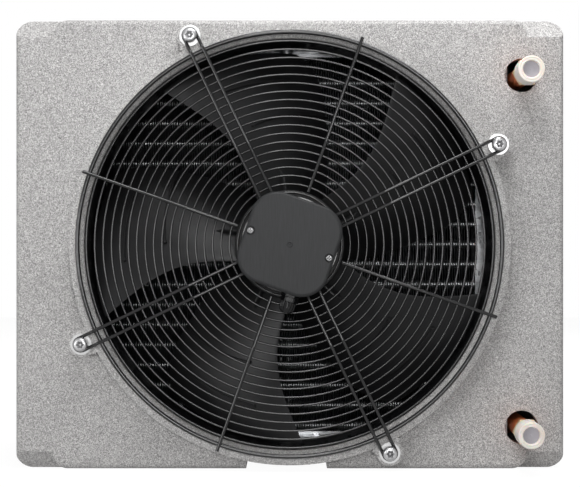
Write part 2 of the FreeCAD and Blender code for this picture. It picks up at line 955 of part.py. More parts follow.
def half_ring_tube(x, one, two, outward):
    """A U-bend at x between two tube ends, bulging along X."""
    first = V(x, y_at(one[0]), one[1])
    last = V(x, y_at(two[0]), two[1])
    centre = (first + last) * 0.5
    across = (last - first).normalize()
    axis = across.cross(V(outward, 0, 0))
    section = Part.Face(Part.Wire([Part.makeCircle(tube_radius, first, V(1, 0, 0))]))
    bore = Part.Face(Part.Wire([Part.makeCircle(tube_radius - tube_wall, first, V(1, 0, 0))]))
    return section.cut(bore).revolve(centre, axis * -1, 180)


def coil_hairpins():
    places = tube_places()
    bends = []
    for index in range(hairpin_count):
        bends.append(half_ring_tube(tubes_left, places[2 * index], places[2 * index + 1], -1))
    return Part.Compound(bends)


def coil_return_bends():
    places = tube_places()
    bends = []
    for index in range(hairpin_count - 1):
        if (index + 1) % hairpins_per_circuit:
            bends.append(half_ring_tube(tubes_right, places[2 * index + 1], places[2 * index + 2], 1))
    return Part.Compound(bends)


def end_plate_bottom():
    return floor_wall + flange_seat_gap + sheet


def coil_end_plate(x, outward):
    """A folded end plate: a holed web with flanges bent away from the fins."""
    z0 = end_plate_bottom()
    z1 = casing_height - z0
    web_x = x if outward > 0 else x - sheet
    web = holed_sheet(
        web_x, sheet, coil_start - sheet, coil_end + sheet, z0, z1, tube_radius + tube_hole_gap
    )
    x0, x1 = sorted((x, x + outward * plate_flange))
    folds = [
        block(x0, x1, coil_start - sheet, coil_start, z0, z1),
        block(x0, x1, coil_end, coil_end + sheet, z0, z1),
        block(x0, x1, coil_start, coil_end, z0, z0 + sheet),
        block(x0, x1, coil_start, coil_end, z1 - sheet, z1),
    ]
    hole_x = x + outward * plate_flange / 2
    middle = y_at((coil_start + coil_end) / 2)
    hole = Part.makeCylinder(coil_screw_radius, casing_height, V(hole_x, middle, 0))
    return joined([web] + folds).cut(hole)


def coil_screw_xs():
    return (plate_left - plate_flange / 2, plate_right + plate_flange / 2)


def coil_flange():
    """The plate under the fins, with a folded lip at its rear and front edges."""
    z0 = floor_wall + flange_seat_gap
    x0 = plate_left - plate_flange
    x1 = plate_right + plate_flange
    web = block(x0, x1, coil_start - sheet, coil_end + sheet, z0, z0 + sheet)
    lips = [
        block(plate_left, plate_right, coil_start - sheet, coil_start, z0, z0 + lip_height),
        block(plate_left, plate_right, coil_end, coil_end + sheet, z0, z0 + lip_height),
    ]
    middle = y_at((coil_start + coil_end) / 2)
    through = sheet + 2 * over
    holes = [Part.makeCylinder(coil_screw_radius, through, V(x, middle, z0 - over)) for x in coil_screw_xs()]
    for x in hanger_screw_places():
        foot = V(x, y_at(hanger_screw_depth), z0 - over)
        holes.append(Part.makeCylinder(hanger_screw_radius, through, foot))
    return joined([web] + lips).cut(holes)


def coil_screws():
    seat_z = end_plate_bottom() + sheet
    middle = y_at((coil_start + coil_end) / 2)
    lower = [
        pan_screw(
            coil_screw_head_radius, coil_screw_head, coil_screw_radius, 2 * sheet,
            V(x, middle, seat_z), V(0, 0, 1),
        )
        for x in coil_screw_xs()
    ]
    return Part.Compound(lower + [mirrored_top(screw) for screw in lower])


def circuit_starts():
    """Heights where the circuits begin on the rear row."""
    return [rear_row_first + index * tube_pitch for index in range(0, hairpin_count, hairpins_per_circuit)]


def circuit_ends():
    """Heights where the circuits end on the front row."""
    return [start + (hairpins_per_circuit - 0.5) * tube_pitch for start in circuit_starts()]


def header(depth, heights, stub_z, row_depth):
    """A capped vertical pipe with a way into its stub and into each circuit."""
    foot = V(stub_x, y_at(depth), min(heights[0], stub_z) - header_reach)
    top = V(stub_x, y_at(depth), max(heights[-1], stub_z) + header_reach)
    outside = rod(header_radius, foot, top)
    inside = rod(header_radius - header_wall, foot + V(0, 0, header_wall), top - V(0, 0, header_wall))
    holes = [disc(stub_radius - stub_wall, depth - header_radius - over, depth, stub_x, stub_z)]
    for z in heights:
        holes.append(rod(
            tube_radius - tube_wall, V(plate_right, y_at(row_depth), z), V(stub_x, y_at(row_depth), z)
        ))
    return outside.cut(inside).cut(holes)


def header_feeders():
    """Short tubes from the circuits to the headers."""
    feeders = []
    for depth, header_depth, heights in (
        (rear_row_depth, supply_depth, circuit_starts()),
        (front_row_depth, return_depth, circuit_ends()),
    ):
        for z in heights:
            start = V(tubes_right, y_at(depth), z)
            end = V(stub_x, y_at(depth), z)
            tool = rod(
                header_radius,
                V(stub_x, y_at(header_depth), z - 3 * tube_radius),
                V(stub_x, y_at(header_depth), z + 3 * tube_radius),
            )
            cut_pipe = pipe(tube_radius, tube_radius - tube_wall, start, end).cut(tool)
            feeders += [solid for solid in cut_pipe.Solids if solid.BoundBox.XMin < tubes_right + over]
    return Part.Compound(feeders)


def stub(header_depth, z):
    """The water tube from a header to its adapter."""
    start = hexagon_end + adapter_stop
    tube = sleeve(stub_radius, stub_radius - stub_wall, start, header_depth, stub_x, z)
    tool = rod(
        header_radius,
        V(stub_x, y_at(header_depth), z - 3 * stub_radius),
        V(stub_x, y_at(header_depth), z + 3 * stub_radius),
    )
    cut_tube = tube.cut(tool)
    kept = [solid for solid in cut_tube.Solids if solid.BoundBox.YMin < y_at(start) + over]
    return kept[0]


def fitting(z):
    """Brass hexagon adapter: a solder socket inside the hexagon and a male pipe thread."""
    hexagon = hexagon_prism(hexagon_flats, V(stub_x, y_at(hexagon_end), z), V(stub_x, y_at(hexagon_start), z))
    thread = disc(thread_radius, thread_end, hexagon_end, stub_x, z)
    socket = disc(stub_radius + solder_gap, hexagon_end + adapter_stop, hexagon_start + over, stub_x, z)
    bore = disc(adapter_bore, thread_end - over, hexagon_start + over, stub_x, z)
    return joined([hexagon, thread]).cut([socket, bore])


def cap(z):
    """Push-on cap: a thin skirt over the thread and a sunk disc in its end."""
    inner = thread_radius + cap_clearance
    outer = inner + cap_wall
    inside_end = cap_end + cap_end_wall
    disc_back = cap_end + cap_disc_set_back
    return revolved((
        (0, disc_back),
        (cap_disc_radius - cap_end_wall, disc_back),
        (cap_disc_radius - cap_end_wall, cap_end),
        (outer - cap_end_wall, cap_end),
        (outer, cap_end + cap_end_wall),
        (outer, cap_end + cap_length),
        (inner, cap_end + cap_length),
        (inner, inside_end),
        (cap_disc_radius, inside_end),
        (cap_disc_radius, disc_back + cap_end_wall),
        (0, disc_back + cap_end_wall),
    ), stub_x, z)


def nozzle_ring():
    start = ear_depth + nozzle_set_back
    end = ring_length_inside
    return revolved((
        (nozzle_outer, start),
        (nozzle_outer, end),
        (nozzle_radius + nozzle_lip_step, end),
        (nozzle_radius, end - nozzle_end_taper),
        (nozzle_radius, start + nozzle_lip_length),
        (nozzle_radius + nozzle_lip_step, start + nozzle_lip_step),
        (nozzle_radius + 2 * nozzle_lip_step, start),
    ))


def spoke_depth_at(radius):
    """Depth of the spokes' centre line, which drops to the motor near the hub."""
    share = (radius - hub_kink_radius) / (kink_radius - hub_kink_radius)
    share = min(max(share, 0.0), 1.0)
    return spoke_hub_depth + (spoke_depth - spoke_hub_depth) * share


def ring_depth_at(radius):
    return spoke_depth_at(radius) + spoke_wire + ring_wire - weld_sink


def guard_ring(radius, wire_radius, depth):
    return Part.makeTorus(radius, wire_radius, V(0, y_at(depth), axis_z), V(0, 1, 0))


def double_spoke(angle):
    """One wire: out along a leg, round the bolt and back along the other leg."""

    def leg(side):
        lateral = side * double_spoke_half_width
        stations = (
            (double_spoke_inner, spoke_hub_depth),
            (hub_kink_radius, spoke_hub_depth),
            (kink_radius, spoke_depth),
            (shoulder_radius, spoke_depth),
            (foot_radius, foot_depth),
            (bolt_circle_radius, foot_depth),
        )
        return [V(radius, y_at(depth), axis_z + lateral) for radius, depth in stations]

    out = run_edges(leg(1), spoke_bend)
    back = run_edges(leg(-1)[::-1], spoke_bend)
    top = V(bolt_circle_radius, y_at(foot_depth), axis_z + double_spoke_half_width)
    tip = V(bolt_circle_radius + double_spoke_half_width, y_at(foot_depth), axis_z)
    low = V(bolt_circle_radius, y_at(foot_depth), axis_z - double_spoke_half_width)
    loop = Part.Arc(top, tip, low).toShape()
    return turned(wire_along(out + [loop] + back, spoke_wire), angle)


def single_spoke(angle):
    stations = (
        (single_spoke_inner, spoke_depth_at(single_spoke_inner)),
        (kink_radius, spoke_depth),
        (single_spoke_outer, spoke_depth),
    )
    points = [V(radius, y_at(depth), axis_z) for radius, depth in stations]
    return turned(wire_along(run_edges(points, spoke_bend), spoke_wire), angle)


def fan_guard():
    wires = []
    for index in range(ring_count):
        radius = first_ring_radius + index * ring_step
        wires.append(guard_ring(radius, ring_wire, ring_depth_at(radius)))
    outer_depth = spoke_depth + spoke_wire + outer_ring_wire - weld_sink
    wires.append(guard_ring(outer_ring_radius, outer_ring_wire, outer_depth))
    for turn in quarter_turns:
        wires.append(double_spoke(double_spoke_angle + turn))
        wires.append(single_spoke(single_spoke_angle + turn))
    return Part.Compound(wires)


def motor_screw_places():
    return [polar(single_spoke_angle + turn, motor_screw_circle, hub_plate_depth) for turn in quarter_turns]


def guard_hub_plate():
    plate = sleeve(hub_plate_radius, hub_plate_bore, hub_plate_depth, motor_flange_start)
    holes = [
        disc(motor_screw_radius, hub_plate_depth - over, motor_flange_start + over, place.x, place.z)
        for place in motor_screw_places()
    ]
    return plate.cut(holes)


def motor_screws():
    return Part.Compound([
        pan_screw(
            motor_screw_head_radius, motor_screw_head, motor_screw_radius, motor_screw_length,
            place, V(0, -1, 0),
        )
        for place in motor_screw_places()
    ])


def guard_bolts():
    bolts = []
    for angle in bolt_places():
        seat = polar(angle, bolt_circle_radius, bolt_seat_depth)
        bolts.append(pan_screw(
            bolt_head_radius, bolt_head_height, bolt_radius, bolt_length, seat, V(0, -1, 0)
        ))
    return Part.Compound(bolts)


def guard_washers():
    washers = []
    for angle in bolt_places():
        place = polar(angle, bolt_circle_radius, 0)
        washers.append(sleeve(washer_radius, washer_bore, washer_depth, ear_depth, place.x, place.z))
    return Part.Compound(washers)


def guard_inserts():
    inserts = []
    for angle in bolt_places():
        place = polar(angle, bolt_circle_radius, 0)
        bore = bolt_radius + guard_insert_gap
        end = ear_depth + guard_insert_length
        inserts.append(sleeve(guard_insert_radius, bore, ear_depth, end, place.x, place.z))
    return Part.Compound(inserts)


def motor_flange():
    """Cast flange with the tube that holds both bearings."""
    end = motor_flange_start + motor_flange_thickness
    plate = disc(motor_flange_radius, motor_flange_start, end)
    tube = disc(bearing_tube_outer, end, bearing_tube_end)
    body = joined([plate, tube])
    cuts = [
        disc(bearing_outer, bearing_rear_start, bearing_rear_start + bearing_width),
        disc(bearing_outer - bearing_shoulder, bearing_rear_start, bearing_front_start + over),
        disc(bearing_outer, bearing_front_start, bearing_tube_end + over),
        disc(bearing_outer, end - over, bearing_rear_start + over),
        disc(wire_hole_radius, motor_flange_start - over, end),
    ]
    for place in motor_screw_places():
        cuts.append(disc(motor_screw_radius, motor_flange_start - over, end + over, place.x, place.z))
    cut_box = [
        turned(disc(neck_screw_radius, motor_flange_start - over, end, side * neck_screw_x), box_turn)
        for side in (1, -1)
    ]
    return body.cut(cuts + cut_box)


def stator_core():
    return sleeve(stator_radius, bearing_tube_outer, stator_start, stator_start + stator_length)


def stator_windings():
    """The two end turns, one each side of the core."""
    inner = bearing_tube_outer + end_turn_inner_gap
    outer = stator_radius - end_turn_outer_gap
    chamfer = end_turn_chamfer
    turns = []
    for seat, direction in ((stator_start, -1), (stator_start + stator_length, 1)):
        turns.append(revolved((
            (inner, seat),
            (inner, seat + direction * (end_turn_length - chamfer)),
            (inner + chamfer, seat + direction * end_turn_length),
            (outer - chamfer, seat + direction * end_turn_length),
            (outer, seat + direction * (end_turn_length - chamfer)),
            (outer, seat),
        )))
    return Part.Compound(turns)


def bearing(start):
    """Two races and a ring of balls."""
    bore = shaft_radius + bearing_gap
    end = start + bearing_width
    middle = (bearing_outer + bore) / 2
    pieces = [
        sleeve(bearing_outer, middle + ball_radius, start, end),
        sleeve(middle - ball_radius, bore, start, end),
    ]
    for index in range(ball_count):
        centre = polar(index * 360 / ball_count, middle, (start + end) / 2)
        pieces.append(Part.makeSphere(ball_radius - bearing_gap, centre))
    return Part.Compound(pieces)


def motor_shaft():
    return disc(shaft_radius, bearing_rear_start - shaft_overhang, bell_end)


def impeller_screw_places(depth):
    step = 360 / impeller_screw_count
    return [polar(step * index + 90, impeller_screw_circle, depth) for index in range(impeller_screw_count)]


def rotor_bell():
    side = sleeve(bell_outer, bell_inner, bell_start, bell_end)
    end = disc(bell_outer, bell_end - bell_wall, bell_end)
    boss = disc(bell_boss_radius, bearing_tube_end + bell_boss_gap, bell_end)
    cuts = [disc(shaft_radius, bell_start, bell_end + over)]
    for place in impeller_screw_places(0):
        near = bell_end - bell_wall - over
        cuts.append(disc(impeller_screw_radius, near, bell_end + over, place.x, place.z))
    return joined([side, end, boss]).cut(cuts)


def rotor_core():
    start = stator_start - rotor_core_overhang
    end = stator_start + stator_length + rotor_core_overhang
    return sleeve(bell_inner, stator_radius + air_gap, start, end)


def blade_point(row, share):
    """A point on the middle surface of the blade."""
    angle = leading_angles[row] + (trailing_angles[row] - leading_angles[row]) * share
    depth = blade_start + blade_depth * share - 4 * blade_camber * share * (1 - share)
    return polar(angle, blade_radii[row], depth)


def blade_normal(row, share):
    """Square to the blade's middle surface, pointing to the rear."""
    step = 0.02
    along = blade_point(row, min(share + step, 1)) - blade_point(row, max(share - step, 0))
    inner = blade_point(max(row - 1, 0), share)
    outer = blade_point(min(row + 1, len(blade_radii) - 1), share)
    normal = along.cross(outer - inner).normalize()
    return normal if normal.y < 0 else normal * -1


def blade_half_thickness(share):
    swell = 4 * share * (1 - share)
    return (blade_edge_thickness + (blade_thickness - blade_edge_thickness) * swell) / 2


def blade_surface(side, extra):
    """One skin of the blade; side 1 is the rear skin, extra lifts it."""
    grid = []
    for row in range(len(blade_radii)):
        points = []
        for share in chord_shares:
            lift = side * blade_half_thickness(share) + extra
            points.append(blade_point(row, share) + blade_normal(row, share) * lift)
        grid.append(points)
    surface = Part.BSplineSurface()
    surface.interpolate(grid)
    return surface.toShape()


def solid_between(one, two):
    """A closed solid between two four-sided skins."""
    faces = [one, two]
    for first, second in zip(one.Edges, two.Edges):
        faces.append(Part.makeRuledSurface(first, second))
    shell = Part.makeShell(faces)
    shell.sewShape()
    solid = Part.makeSolid(Part.Shell(shell.Faces))
    solid.fix(1e-4, 1e-4, 1e-3)
    return solid if solid.Volume > 0 else solid.reversed()


def fence_wall(stations):
    """A thin wall along Y through three polar stations (angle, radius)."""
    half = fence_width / 2
    sides = []
    for shift in (-half, half):
        points = [polar(angle, radius + shift, 0) for angle, radius in stations]
        sides.append(points)
    edges = [
        Part.Arc(*sides[0]).toShape(),
        Part.makeLine(sides[0][2], sides[1][2]),
        Part.Arc(*sides[1][::-1]).toShape(),
        Part.makeLine(sides[1][0], sides[0][0]),
    ]
    return Part.Face(Part.Wire(edges)).extrude(V(0, blade_start + blade_depth, 0))


def blade():
    rear_skin = blade_surface(1, 0)
    front_skin = blade_surface(-1, 0)
    sheet_body = solid_between(front_skin, rear_skin)
    low = blade_surface(1, -blade_half_thickness(0))
    fence_band = solid_between(low, blade_surface(1, fence_height))
    rib_band = solid_between(low, blade_surface(1, root_rib_height))
    fences = [fence_band.common(fence_wall(stations)) for stations in (outer_fence, inner_fence)]
    half_rib = root_rib_width / 2
    rib = block(
        hub_outer - blade_root_sink, root_rib_outer, 0, blade_start + blade_depth,
        axis_z - half_rib, axis_z + half_rib,
    )
    fences.append(rib_band.common(turned(rib, root_rib_angle)))
    return sheet_body.fuse(fences)


def impeller():
    hub = sleeve(hub_outer, hub_outer - hub_wall, hub_start, hub_start + hub_length)
    web_end = bell_end + bell_gap + hub_web_thickness
    web = sleeve(hub_outer - over, bell_boss_radius + hub_web_gap, bell_end + bell_gap, web_end)
    holes = [
        disc(impeller_screw_radius, bell_end - over, web_end + over, place.x, place.z)
        for place in impeller_screw_places(0)
    ]
    inside = disc(hub_outer - hub_wall, hub_start - over, bell_end + bell_gap)
    one = blade()
    blades = [turned(one, 360 / blade_count * index) for index in range(blade_count)]
    body = hub.fuse([web] + blades)
    return body.cut(holes + [inside])


def impeller_screws():
    seat_depth = bell_end + bell_gap + hub_web_thickness
    length = hub_web_thickness + bell_gap + bell_wall
    return Part.Compound([
        pan_screw(
            impeller_screw_head_radius, impeller_screw_head, impeller_screw_radius, length,
            place, V(0, 1, 0),
        )
        for place in impeller_screw_places(seat_depth)
    ])


def gasket_depth():
    return cover_end + cover_height


def box_rim_depth():
    return gasket_depth() + gasket_thickness


def terminal_cover():
    body = centred_block(cover_half, cover_corner, cover_end, gasket_depth())
    rim = [edge for edge in body.Edges if abs(edge.BoundBox.YMax - y_at(cover_end)) < 1e-6]
    body = body.makeFillet(cover_rim_round, rim)
    inside_half = cover_half - cover_wall
    hollow = centred_block(
        inside_half, cover_corner - cover_wall, cover_end + cover_wall, gasket_depth() + over
    )
    inner_end = cover_end + cover_recess_depth
    bosses = [
        disc(cover_recess_radius + cover_boss_wall, cover_end + over, gasket_depth(), side * box_screw_x)
        for side in (1, -1)
    ]
    outline = centred_block(cover_half - over, cover_corner - over, cover_end + over, gasket_depth())
    bosses = [boss.common(outline) for boss in bosses]
    cuts = []
    for side in (1, -1):
        cuts.append(disc(cover_recess_radius, cover_end - over, inner_end, side * box_screw_x))
        cuts.append(disc(cover_screw_hole, cover_end - over, gasket_depth() + over, side * box_screw_x))
    return turned(joined([body.cut(hollow)] + bosses).cut(cuts), box_turn)


def terminal_gasket():
    outer = centred_block(box_half, cover_corner - cover_wall, gasket_depth(), box_rim_depth())
    inner_corner = cover_corner - cover_wall - gasket_width
    inner = centred_block(box_half - gasket_width, inner_corner, gasket_depth(), box_rim_depth())
    ring = outer.cut(inner)
    ears = []
    holes = []
    for side in (1, -1):
        ear_disc = disc(box_boss_radius, gasket_depth(), box_rim_depth(), side * box_screw_x)
        ears.append(ear_disc.common(outer))
        holes.append(disc(cover_screw_hole, gasket_depth(), box_rim_depth(), side * box_screw_x))
    return turned(joined([ring] + ears).cut(holes), box_turn)


def terminal_screws():
    screws = []
    for side in (1, -1):
        seat = V(side * box_screw_x, y_at(cover_end + cover_recess_depth), axis_z)
        screw = pan_screw(
            cover_screw_head_radius, cover_screw_head, cover_screw_radius, cover_screw_length,
            seat, V(0, -1, 0),
        )
        screws.append(turned(screw, box_turn))
    return Part.Compound(screws)


def terminal_box():
    corner = cover_corner - cover_wall
    body = centred_block(box_half, corner, box_rim_depth(), box_floor)
    floor_inside = box_floor - box_wall
    hollow = centred_block(box_half - box_wall, corner - box_wall, box_rim_depth() - over, floor_inside)
    body = body.cut(hollow)
    shell = centred_block(box_half, corner, box_rim_depth(), box_floor)
    bosses = [
        disc(box_boss_radius, box_rim_depth(), box_floor, side * box_screw_x).common(shell)
        for side in (1, -1)
    ]
    neck = disc(neck_radius, box_floor - over, motor_flange_start)
    pad_half = locknut_flats / math.sqrt(3) + gland_pad_margin
    pad = block(
        gland_x - pad_half, gland_x + pad_half, box_rim_depth(), box_floor,
        axis_z - box_half, axis_z - locknut_seat(),
    ).common(shell)
    body = joined([body, neck, pad] + bosses)
    saddle_z = axis_z + capacitor_z
    saddle_x = capacitor_length / 2 - saddle_inset
    saddle_top = floor_inside - saddle_height
    saddles = [
        block(
            side * saddle_x - saddle_width / 2, side * saddle_x + saddle_width / 2,
            saddle_top, floor_inside + over, saddle_z - capacitor_radius, saddle_z + capacitor_radius,
        )
        for side in (1, -1)
    ]
    body = joined([body] + saddles)
    neck_inside_end = motor_flange_start - neck_floor
    cuts = [
        disc(neck_radius - neck_wall, floor_inside - over, neck_inside_end),
        disc(wire_hole_radius, neck_inside_end - over, motor_flange_start + over),
        capacitor_shape(saddle_gap),
        gland_rod(gland_thread_radius + gland_thread_gap, locknut_seat() - over, box_half + over),
    ]
    for side in (1, -1):
        cuts.append(disc(
            cover_screw_radius, box_rim_depth() - over, floor_inside - over, side * box_screw_x
        ))
        neck_hole_end = motor_flange_start + over
        cuts.append(disc(neck_screw_radius, neck_inside_end - over, neck_hole_end, side * neck_screw_x))
    return turned(body.cut(cuts), box_turn)


def neck_screws():
    screws = []
    for side in (1, -1):
        seat = V(side * neck_screw_x, y_at(motor_flange_start - neck_floor), axis_z)
        screw = pan_screw(
            neck_screw_head_radius, neck_screw_head, neck_screw_radius, neck_screw_length,
            seat, V(0, -1, 0),
        )
        screws.append(turned(screw, box_turn))
    return Part.Compound(screws)


def capacitor_shape(extra):
    depth = box_floor - box_wall - capacitor_gap - capacitor_radius
    z = axis_z + capacitor_z
    half = capacitor_length / 2
    return rod(capacitor_radius + extra, V(-half, y_at(depth), z), V(half, y_at(depth), z))


def run_capacitor():
    return turned(capacitor_shape(0), box_turn)


def terminal_block():
    width, height, depth = terminal_block_size
    x, z = terminal_block_centre
    floor = box_floor - box_wall
    x0 = x - width / 2
    z0 = axis_z + z - height / 2
    body = block(x0, x0 + width, floor - depth, floor, z0, z0 + height)
    wells = []
    for index in range(terminal_ways):
        way_x = x0 + width * (index + 0.5) / terminal_ways
        wells.append(disc(terminal_screw_radius, floor - depth, floor - depth / 2, way_x, axis_z + z))
    return turned(body.cut(wells), box_turn)


def gland_point(reach):
    """A point on the gland's axis, at a distance below the fan axis before the box is turned."""
    return V(gland_x, y_at(gland_depth), axis_z - reach)


def gland_rod(radius, near, far):
    return rod(radius, gland_point(near), gland_point(far))


def locknut_seat():
    """Where the locknut bears on the flat pad inside the box."""
    return box_half - box_wall - gland_pad_thickness


def gland_nut_start():
    return box_half + gland_hexagon


def gland_bar(flats, start, end):
    """A hexagon on the gland's axis with two flats across the depth, so that it clears the cover's rim."""
    bar = hexagon_prism(flats, gland_point(start), gland_point(end))
    bar.rotate(gland_point(0), V(0, 0, 1), hexagon_half_turn)
    return bar


def gland_body():
    start = locknut_seat() - locknut_thickness - gland_spigot_past_nut
    spigot = gland_rod(gland_thread_radius, start, box_half)
    hexagon = gland_bar(gland_flats, box_half, gland_nut_start())
    tube_end = gland_nut_start() + gland_tube_length
    tube = gland_rod(gland_tube_radius, gland_nut_start(), tube_end)
    bore = gland_rod(gland_bore, start - over, tube_end + over)
    return turned(joined([spigot, hexagon, tube]).cut(bore), box_turn)


def gland_locknut():
    """Flat nut inside the box."""
    end = locknut_seat()
    start = end - locknut_thickness
    nut = gland_bar(locknut_flats, start, end)
    bore = gland_rod(gland_thread_radius + gland_thread_gap, start - over, end + over)
    return turned(nut.cut(bore), box_turn)


def gland_seal():
    start = gland_nut_start() + gland_tube_length
    end = start + gland_seal_length
    sleeve_body = gland_rod(gland_seal_radius, start, end).cut(gland_rod(gland_bore, start, end))
    return turned(sleeve_body, box_turn)


def gland_nut():
    start = gland_nut_start()
    end = start + gland_nut_length
    body = gland_bar(gland_flats, start, end)
    radius = gland_flats / math.sqrt(3)
    dome_start = end - gland_dome_length
    points = [
        (0, start), (radius, start), (radius, dome_start), (radius - gland_dome_step, end - gland_dome_end),
        (gland_mouth_radius + gland_dome_step, end), (0, end),
    ]
    corners = [V(gland_x + r, y_at(gland_depth), axis_z - reach) for r, reach in points]
    turned_bar = Part.Face(Part.makePolygon(corners + corners[:1])).revolve(
        gland_point(0), V(0, 0, 1), 360
    )
    seal_end = start + gland_tube_length + gland_seal_length
    cuts = [
        gland_rod(gland_tube_radius, start - over, seal_end),
        gland_rod(gland_mouth_radius, start, end + over),
    ]
    return turned(body.common(turned_bar).cut(cuts), box_turn)


pieces = {
    "rear_shell": rear_shell(),
    "front_shell": front_shell(),
    "outlet_frame": outlet_frame(),
    "frame_screws": frame_screws(),
    "shell_clips": shell_clips(),
    "clip_screws": clip_screws(),
    "hanger_plates": Part.Compound([hanger_plate(), mirrored_top(hanger_plate())]),
    "hanger_screws": hanger_screws(),
    "vane_bushes": vane_bushes(),
    "coil_fins": coil_fins(),
    "coil_tubes": coil_tubes(),
    "coil_bends": Part.Compound([coil_hairpins(), coil_return_bends()]),
    "coil_end_plate_left": coil_end_plate(plate_left, -1),
    "coil_end_plate_right": coil_end_plate(plate_right, 1),
    "coil_flange_bottom": coil_flange(),
    "coil_flange_top": mirrored_top(coil_flange()),
    "coil_screws": coil_screws(),
    "header_supply": header(supply_depth, circuit_starts(), stub_low_z, rear_row_depth),
    "header_return": header(return_depth, circuit_ends(), stub_high_z, front_row_depth),
    "header_feeders": header_feeders(),
    "stub_lower": stub(supply_depth, stub_low_z),
    "stub_upper": stub(return_depth, stub_high_z),
    "fitting_lower": fitting(stub_low_z),
    "fitting_upper": fitting(stub_high_z),
    "cap_lower": cap(stub_low_z),
    "cap_upper": cap(stub_high_z),
    "nozzle_ring": nozzle_ring(),
    "fan_guard": fan_guard(),
    "guard_hub_plate": guard_hub_plate(),
    "guard_bolts": guard_bolts(),
    "guard_washers": guard_washers(),
    "guard_inserts": guard_inserts(),
    "motor_screws": motor_screws(),
    "motor_flange": motor_flange(),
    "stator_core": stator_core(),
    "stator_windings": stator_windings(),
    "bearing_rear": bearing(bearing_rear_start),
    "bearing_front": bearing(bearing_front_start),
    "motor_shaft": motor_shaft(),
    "rotor_bell": rotor_bell(),
    "rotor_core": rotor_core(),
    "impeller": impeller(),
    "impeller_screws": impeller_screws(),
    "terminal_box": terminal_box(),
    "terminal_cover": terminal_cover(),
    "terminal_gasket": terminal_gasket(),
    "terminal_screws": terminal_screws(),
    "neck_screws": neck_screws(),
    "terminal_block": terminal_block(),
    "run_capacitor": run_capacitor(),
    "gland_body": gland_body(),
    "gland_locknut": gland_locknut(),
    "gland_nut": gland_nut(),
    "gland_seal": gland_seal(),
}
for number, height in enumerate(vane_heights(), start=1):
    pieces["vane_%d" % number] = vane(height)

os.makedirs("parts", exist_ok=True)
for name, shape in pieces.items():
    shape.exportStep("parts/%s.step" % name)
    print(name, len(shape.Solids), shape.isValid(), round(shape.Volume))
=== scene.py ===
# %% [markdown]
# # A water fan heater seen from behind
# The heater is a foamed plastic box with a big axial fan in its back. Hot water runs through a
# finned coil behind the fan, and turnable vanes at the front send the warm air into the room.
# The lesson goes piece by piece. Everything is in metres, X runs to the right, Y to the front
# of the heater and Z up, so the camera behind the heater looks along +Y.
# The fixed frame gives the place of every part, and each new piece takes its place from it.

# %% Load the frame
import json
import math

import bmesh
import bpy
from mathutils import Matrix, Vector


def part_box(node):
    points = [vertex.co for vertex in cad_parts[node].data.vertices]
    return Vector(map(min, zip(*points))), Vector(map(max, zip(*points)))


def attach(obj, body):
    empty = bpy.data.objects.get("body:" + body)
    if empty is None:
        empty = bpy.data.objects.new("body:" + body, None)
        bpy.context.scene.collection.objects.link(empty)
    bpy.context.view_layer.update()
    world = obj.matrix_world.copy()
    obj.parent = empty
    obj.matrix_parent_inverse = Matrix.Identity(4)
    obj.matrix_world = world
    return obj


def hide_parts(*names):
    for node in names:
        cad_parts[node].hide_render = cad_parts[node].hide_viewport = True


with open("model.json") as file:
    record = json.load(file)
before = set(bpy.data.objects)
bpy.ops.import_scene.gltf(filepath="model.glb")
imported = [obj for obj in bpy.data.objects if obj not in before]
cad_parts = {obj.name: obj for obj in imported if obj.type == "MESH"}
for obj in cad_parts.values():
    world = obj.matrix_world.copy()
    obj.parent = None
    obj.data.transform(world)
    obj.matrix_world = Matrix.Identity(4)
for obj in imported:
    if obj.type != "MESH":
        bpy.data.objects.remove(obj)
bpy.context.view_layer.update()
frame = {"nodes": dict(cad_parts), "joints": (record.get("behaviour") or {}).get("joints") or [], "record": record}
MM = 0.001

fan_joint = next(joint for joint in frame["joints"] if joint["name"] == "fan_spin")
fan_height = fan_joint["pos_m"][2]
fan_centre = (0.0, 0.0, fan_height)
ear_height = 15 * MM
rear_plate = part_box("rear_shell")[0].y + ear_height
print("fan axis at z =", round(fan_height, 4), "and rear plate at y =", round(rear_plate, 4))


def at(depth):
    """The Y of a depth in millimetres in front of the rear plate."""
    return rear_plate + depth * MM


def around(angle, radius, depth=0.0):
    """A point at an angle and a radius in millimetres about the fan axis, seen from behind."""
    turn = math.radians(angle)
    return Vector((
        radius * MM * math.cos(turn),
        at(depth),
        fan_height + radius * MM * math.sin(turn),
    ))


def new_object(name, data):
    """An object in the scene from a mesh, a lamp or a camera."""
    item = bpy.data.objects.new(name, data)
    bpy.context.scene.collection.objects.link(item)
    return item


def from_points(name, points, edges=(), faces=()):
    """A loose mesh in the scene."""
    mesh = bpy.data.meshes.new(name)
    mesh.from_pydata([tuple(point) for point in points], edges, faces)
    return new_object(name, mesh)


# %% [markdown]
# ## Camera
# The photograph was taken square to the back of the heater, with the lens at the height of
# the fan. The distance keeps the perspective weak: the caps of the water stubs move out only a
# few pixels from their holes. The distance and lens give the casing its width in the picture,
# and a tiny shift puts the fan's centre where it is.

# %% Place the camera
camera_distance = 1.5
lens_mm = 82.4
fan_centre_px = (289.8, 244.3)
picture_px = (580, 487)

camera_data = bpy.data.cameras.new("camera")
camera_data.lens = lens_mm
camera_data.sensor_width = 36.0
camera_data.clip_start = 0.05
camera_data.clip_end = 50.0
camera_data.shift_x = (picture_px[0] / 2 - fan_centre_px[0]) / picture_px[0]
camera_data.shift_y = (fan_centre_px[1] - picture_px[1] / 2) / picture_px[0]
camera = new_object("camera", camera_data)
camera.location = (0.0, rear_plate - camera_distance, fan_height)
camera.rotation_euler = (math.radians(90), 0.0, 0.0)
bpy.context.scene.camera = camera
bpy.context.scene.view_settings.view_transform = "Standard"
print("camera shift", round(camera_data.shift_x, 5), round(camera_data.shift_y, 5))

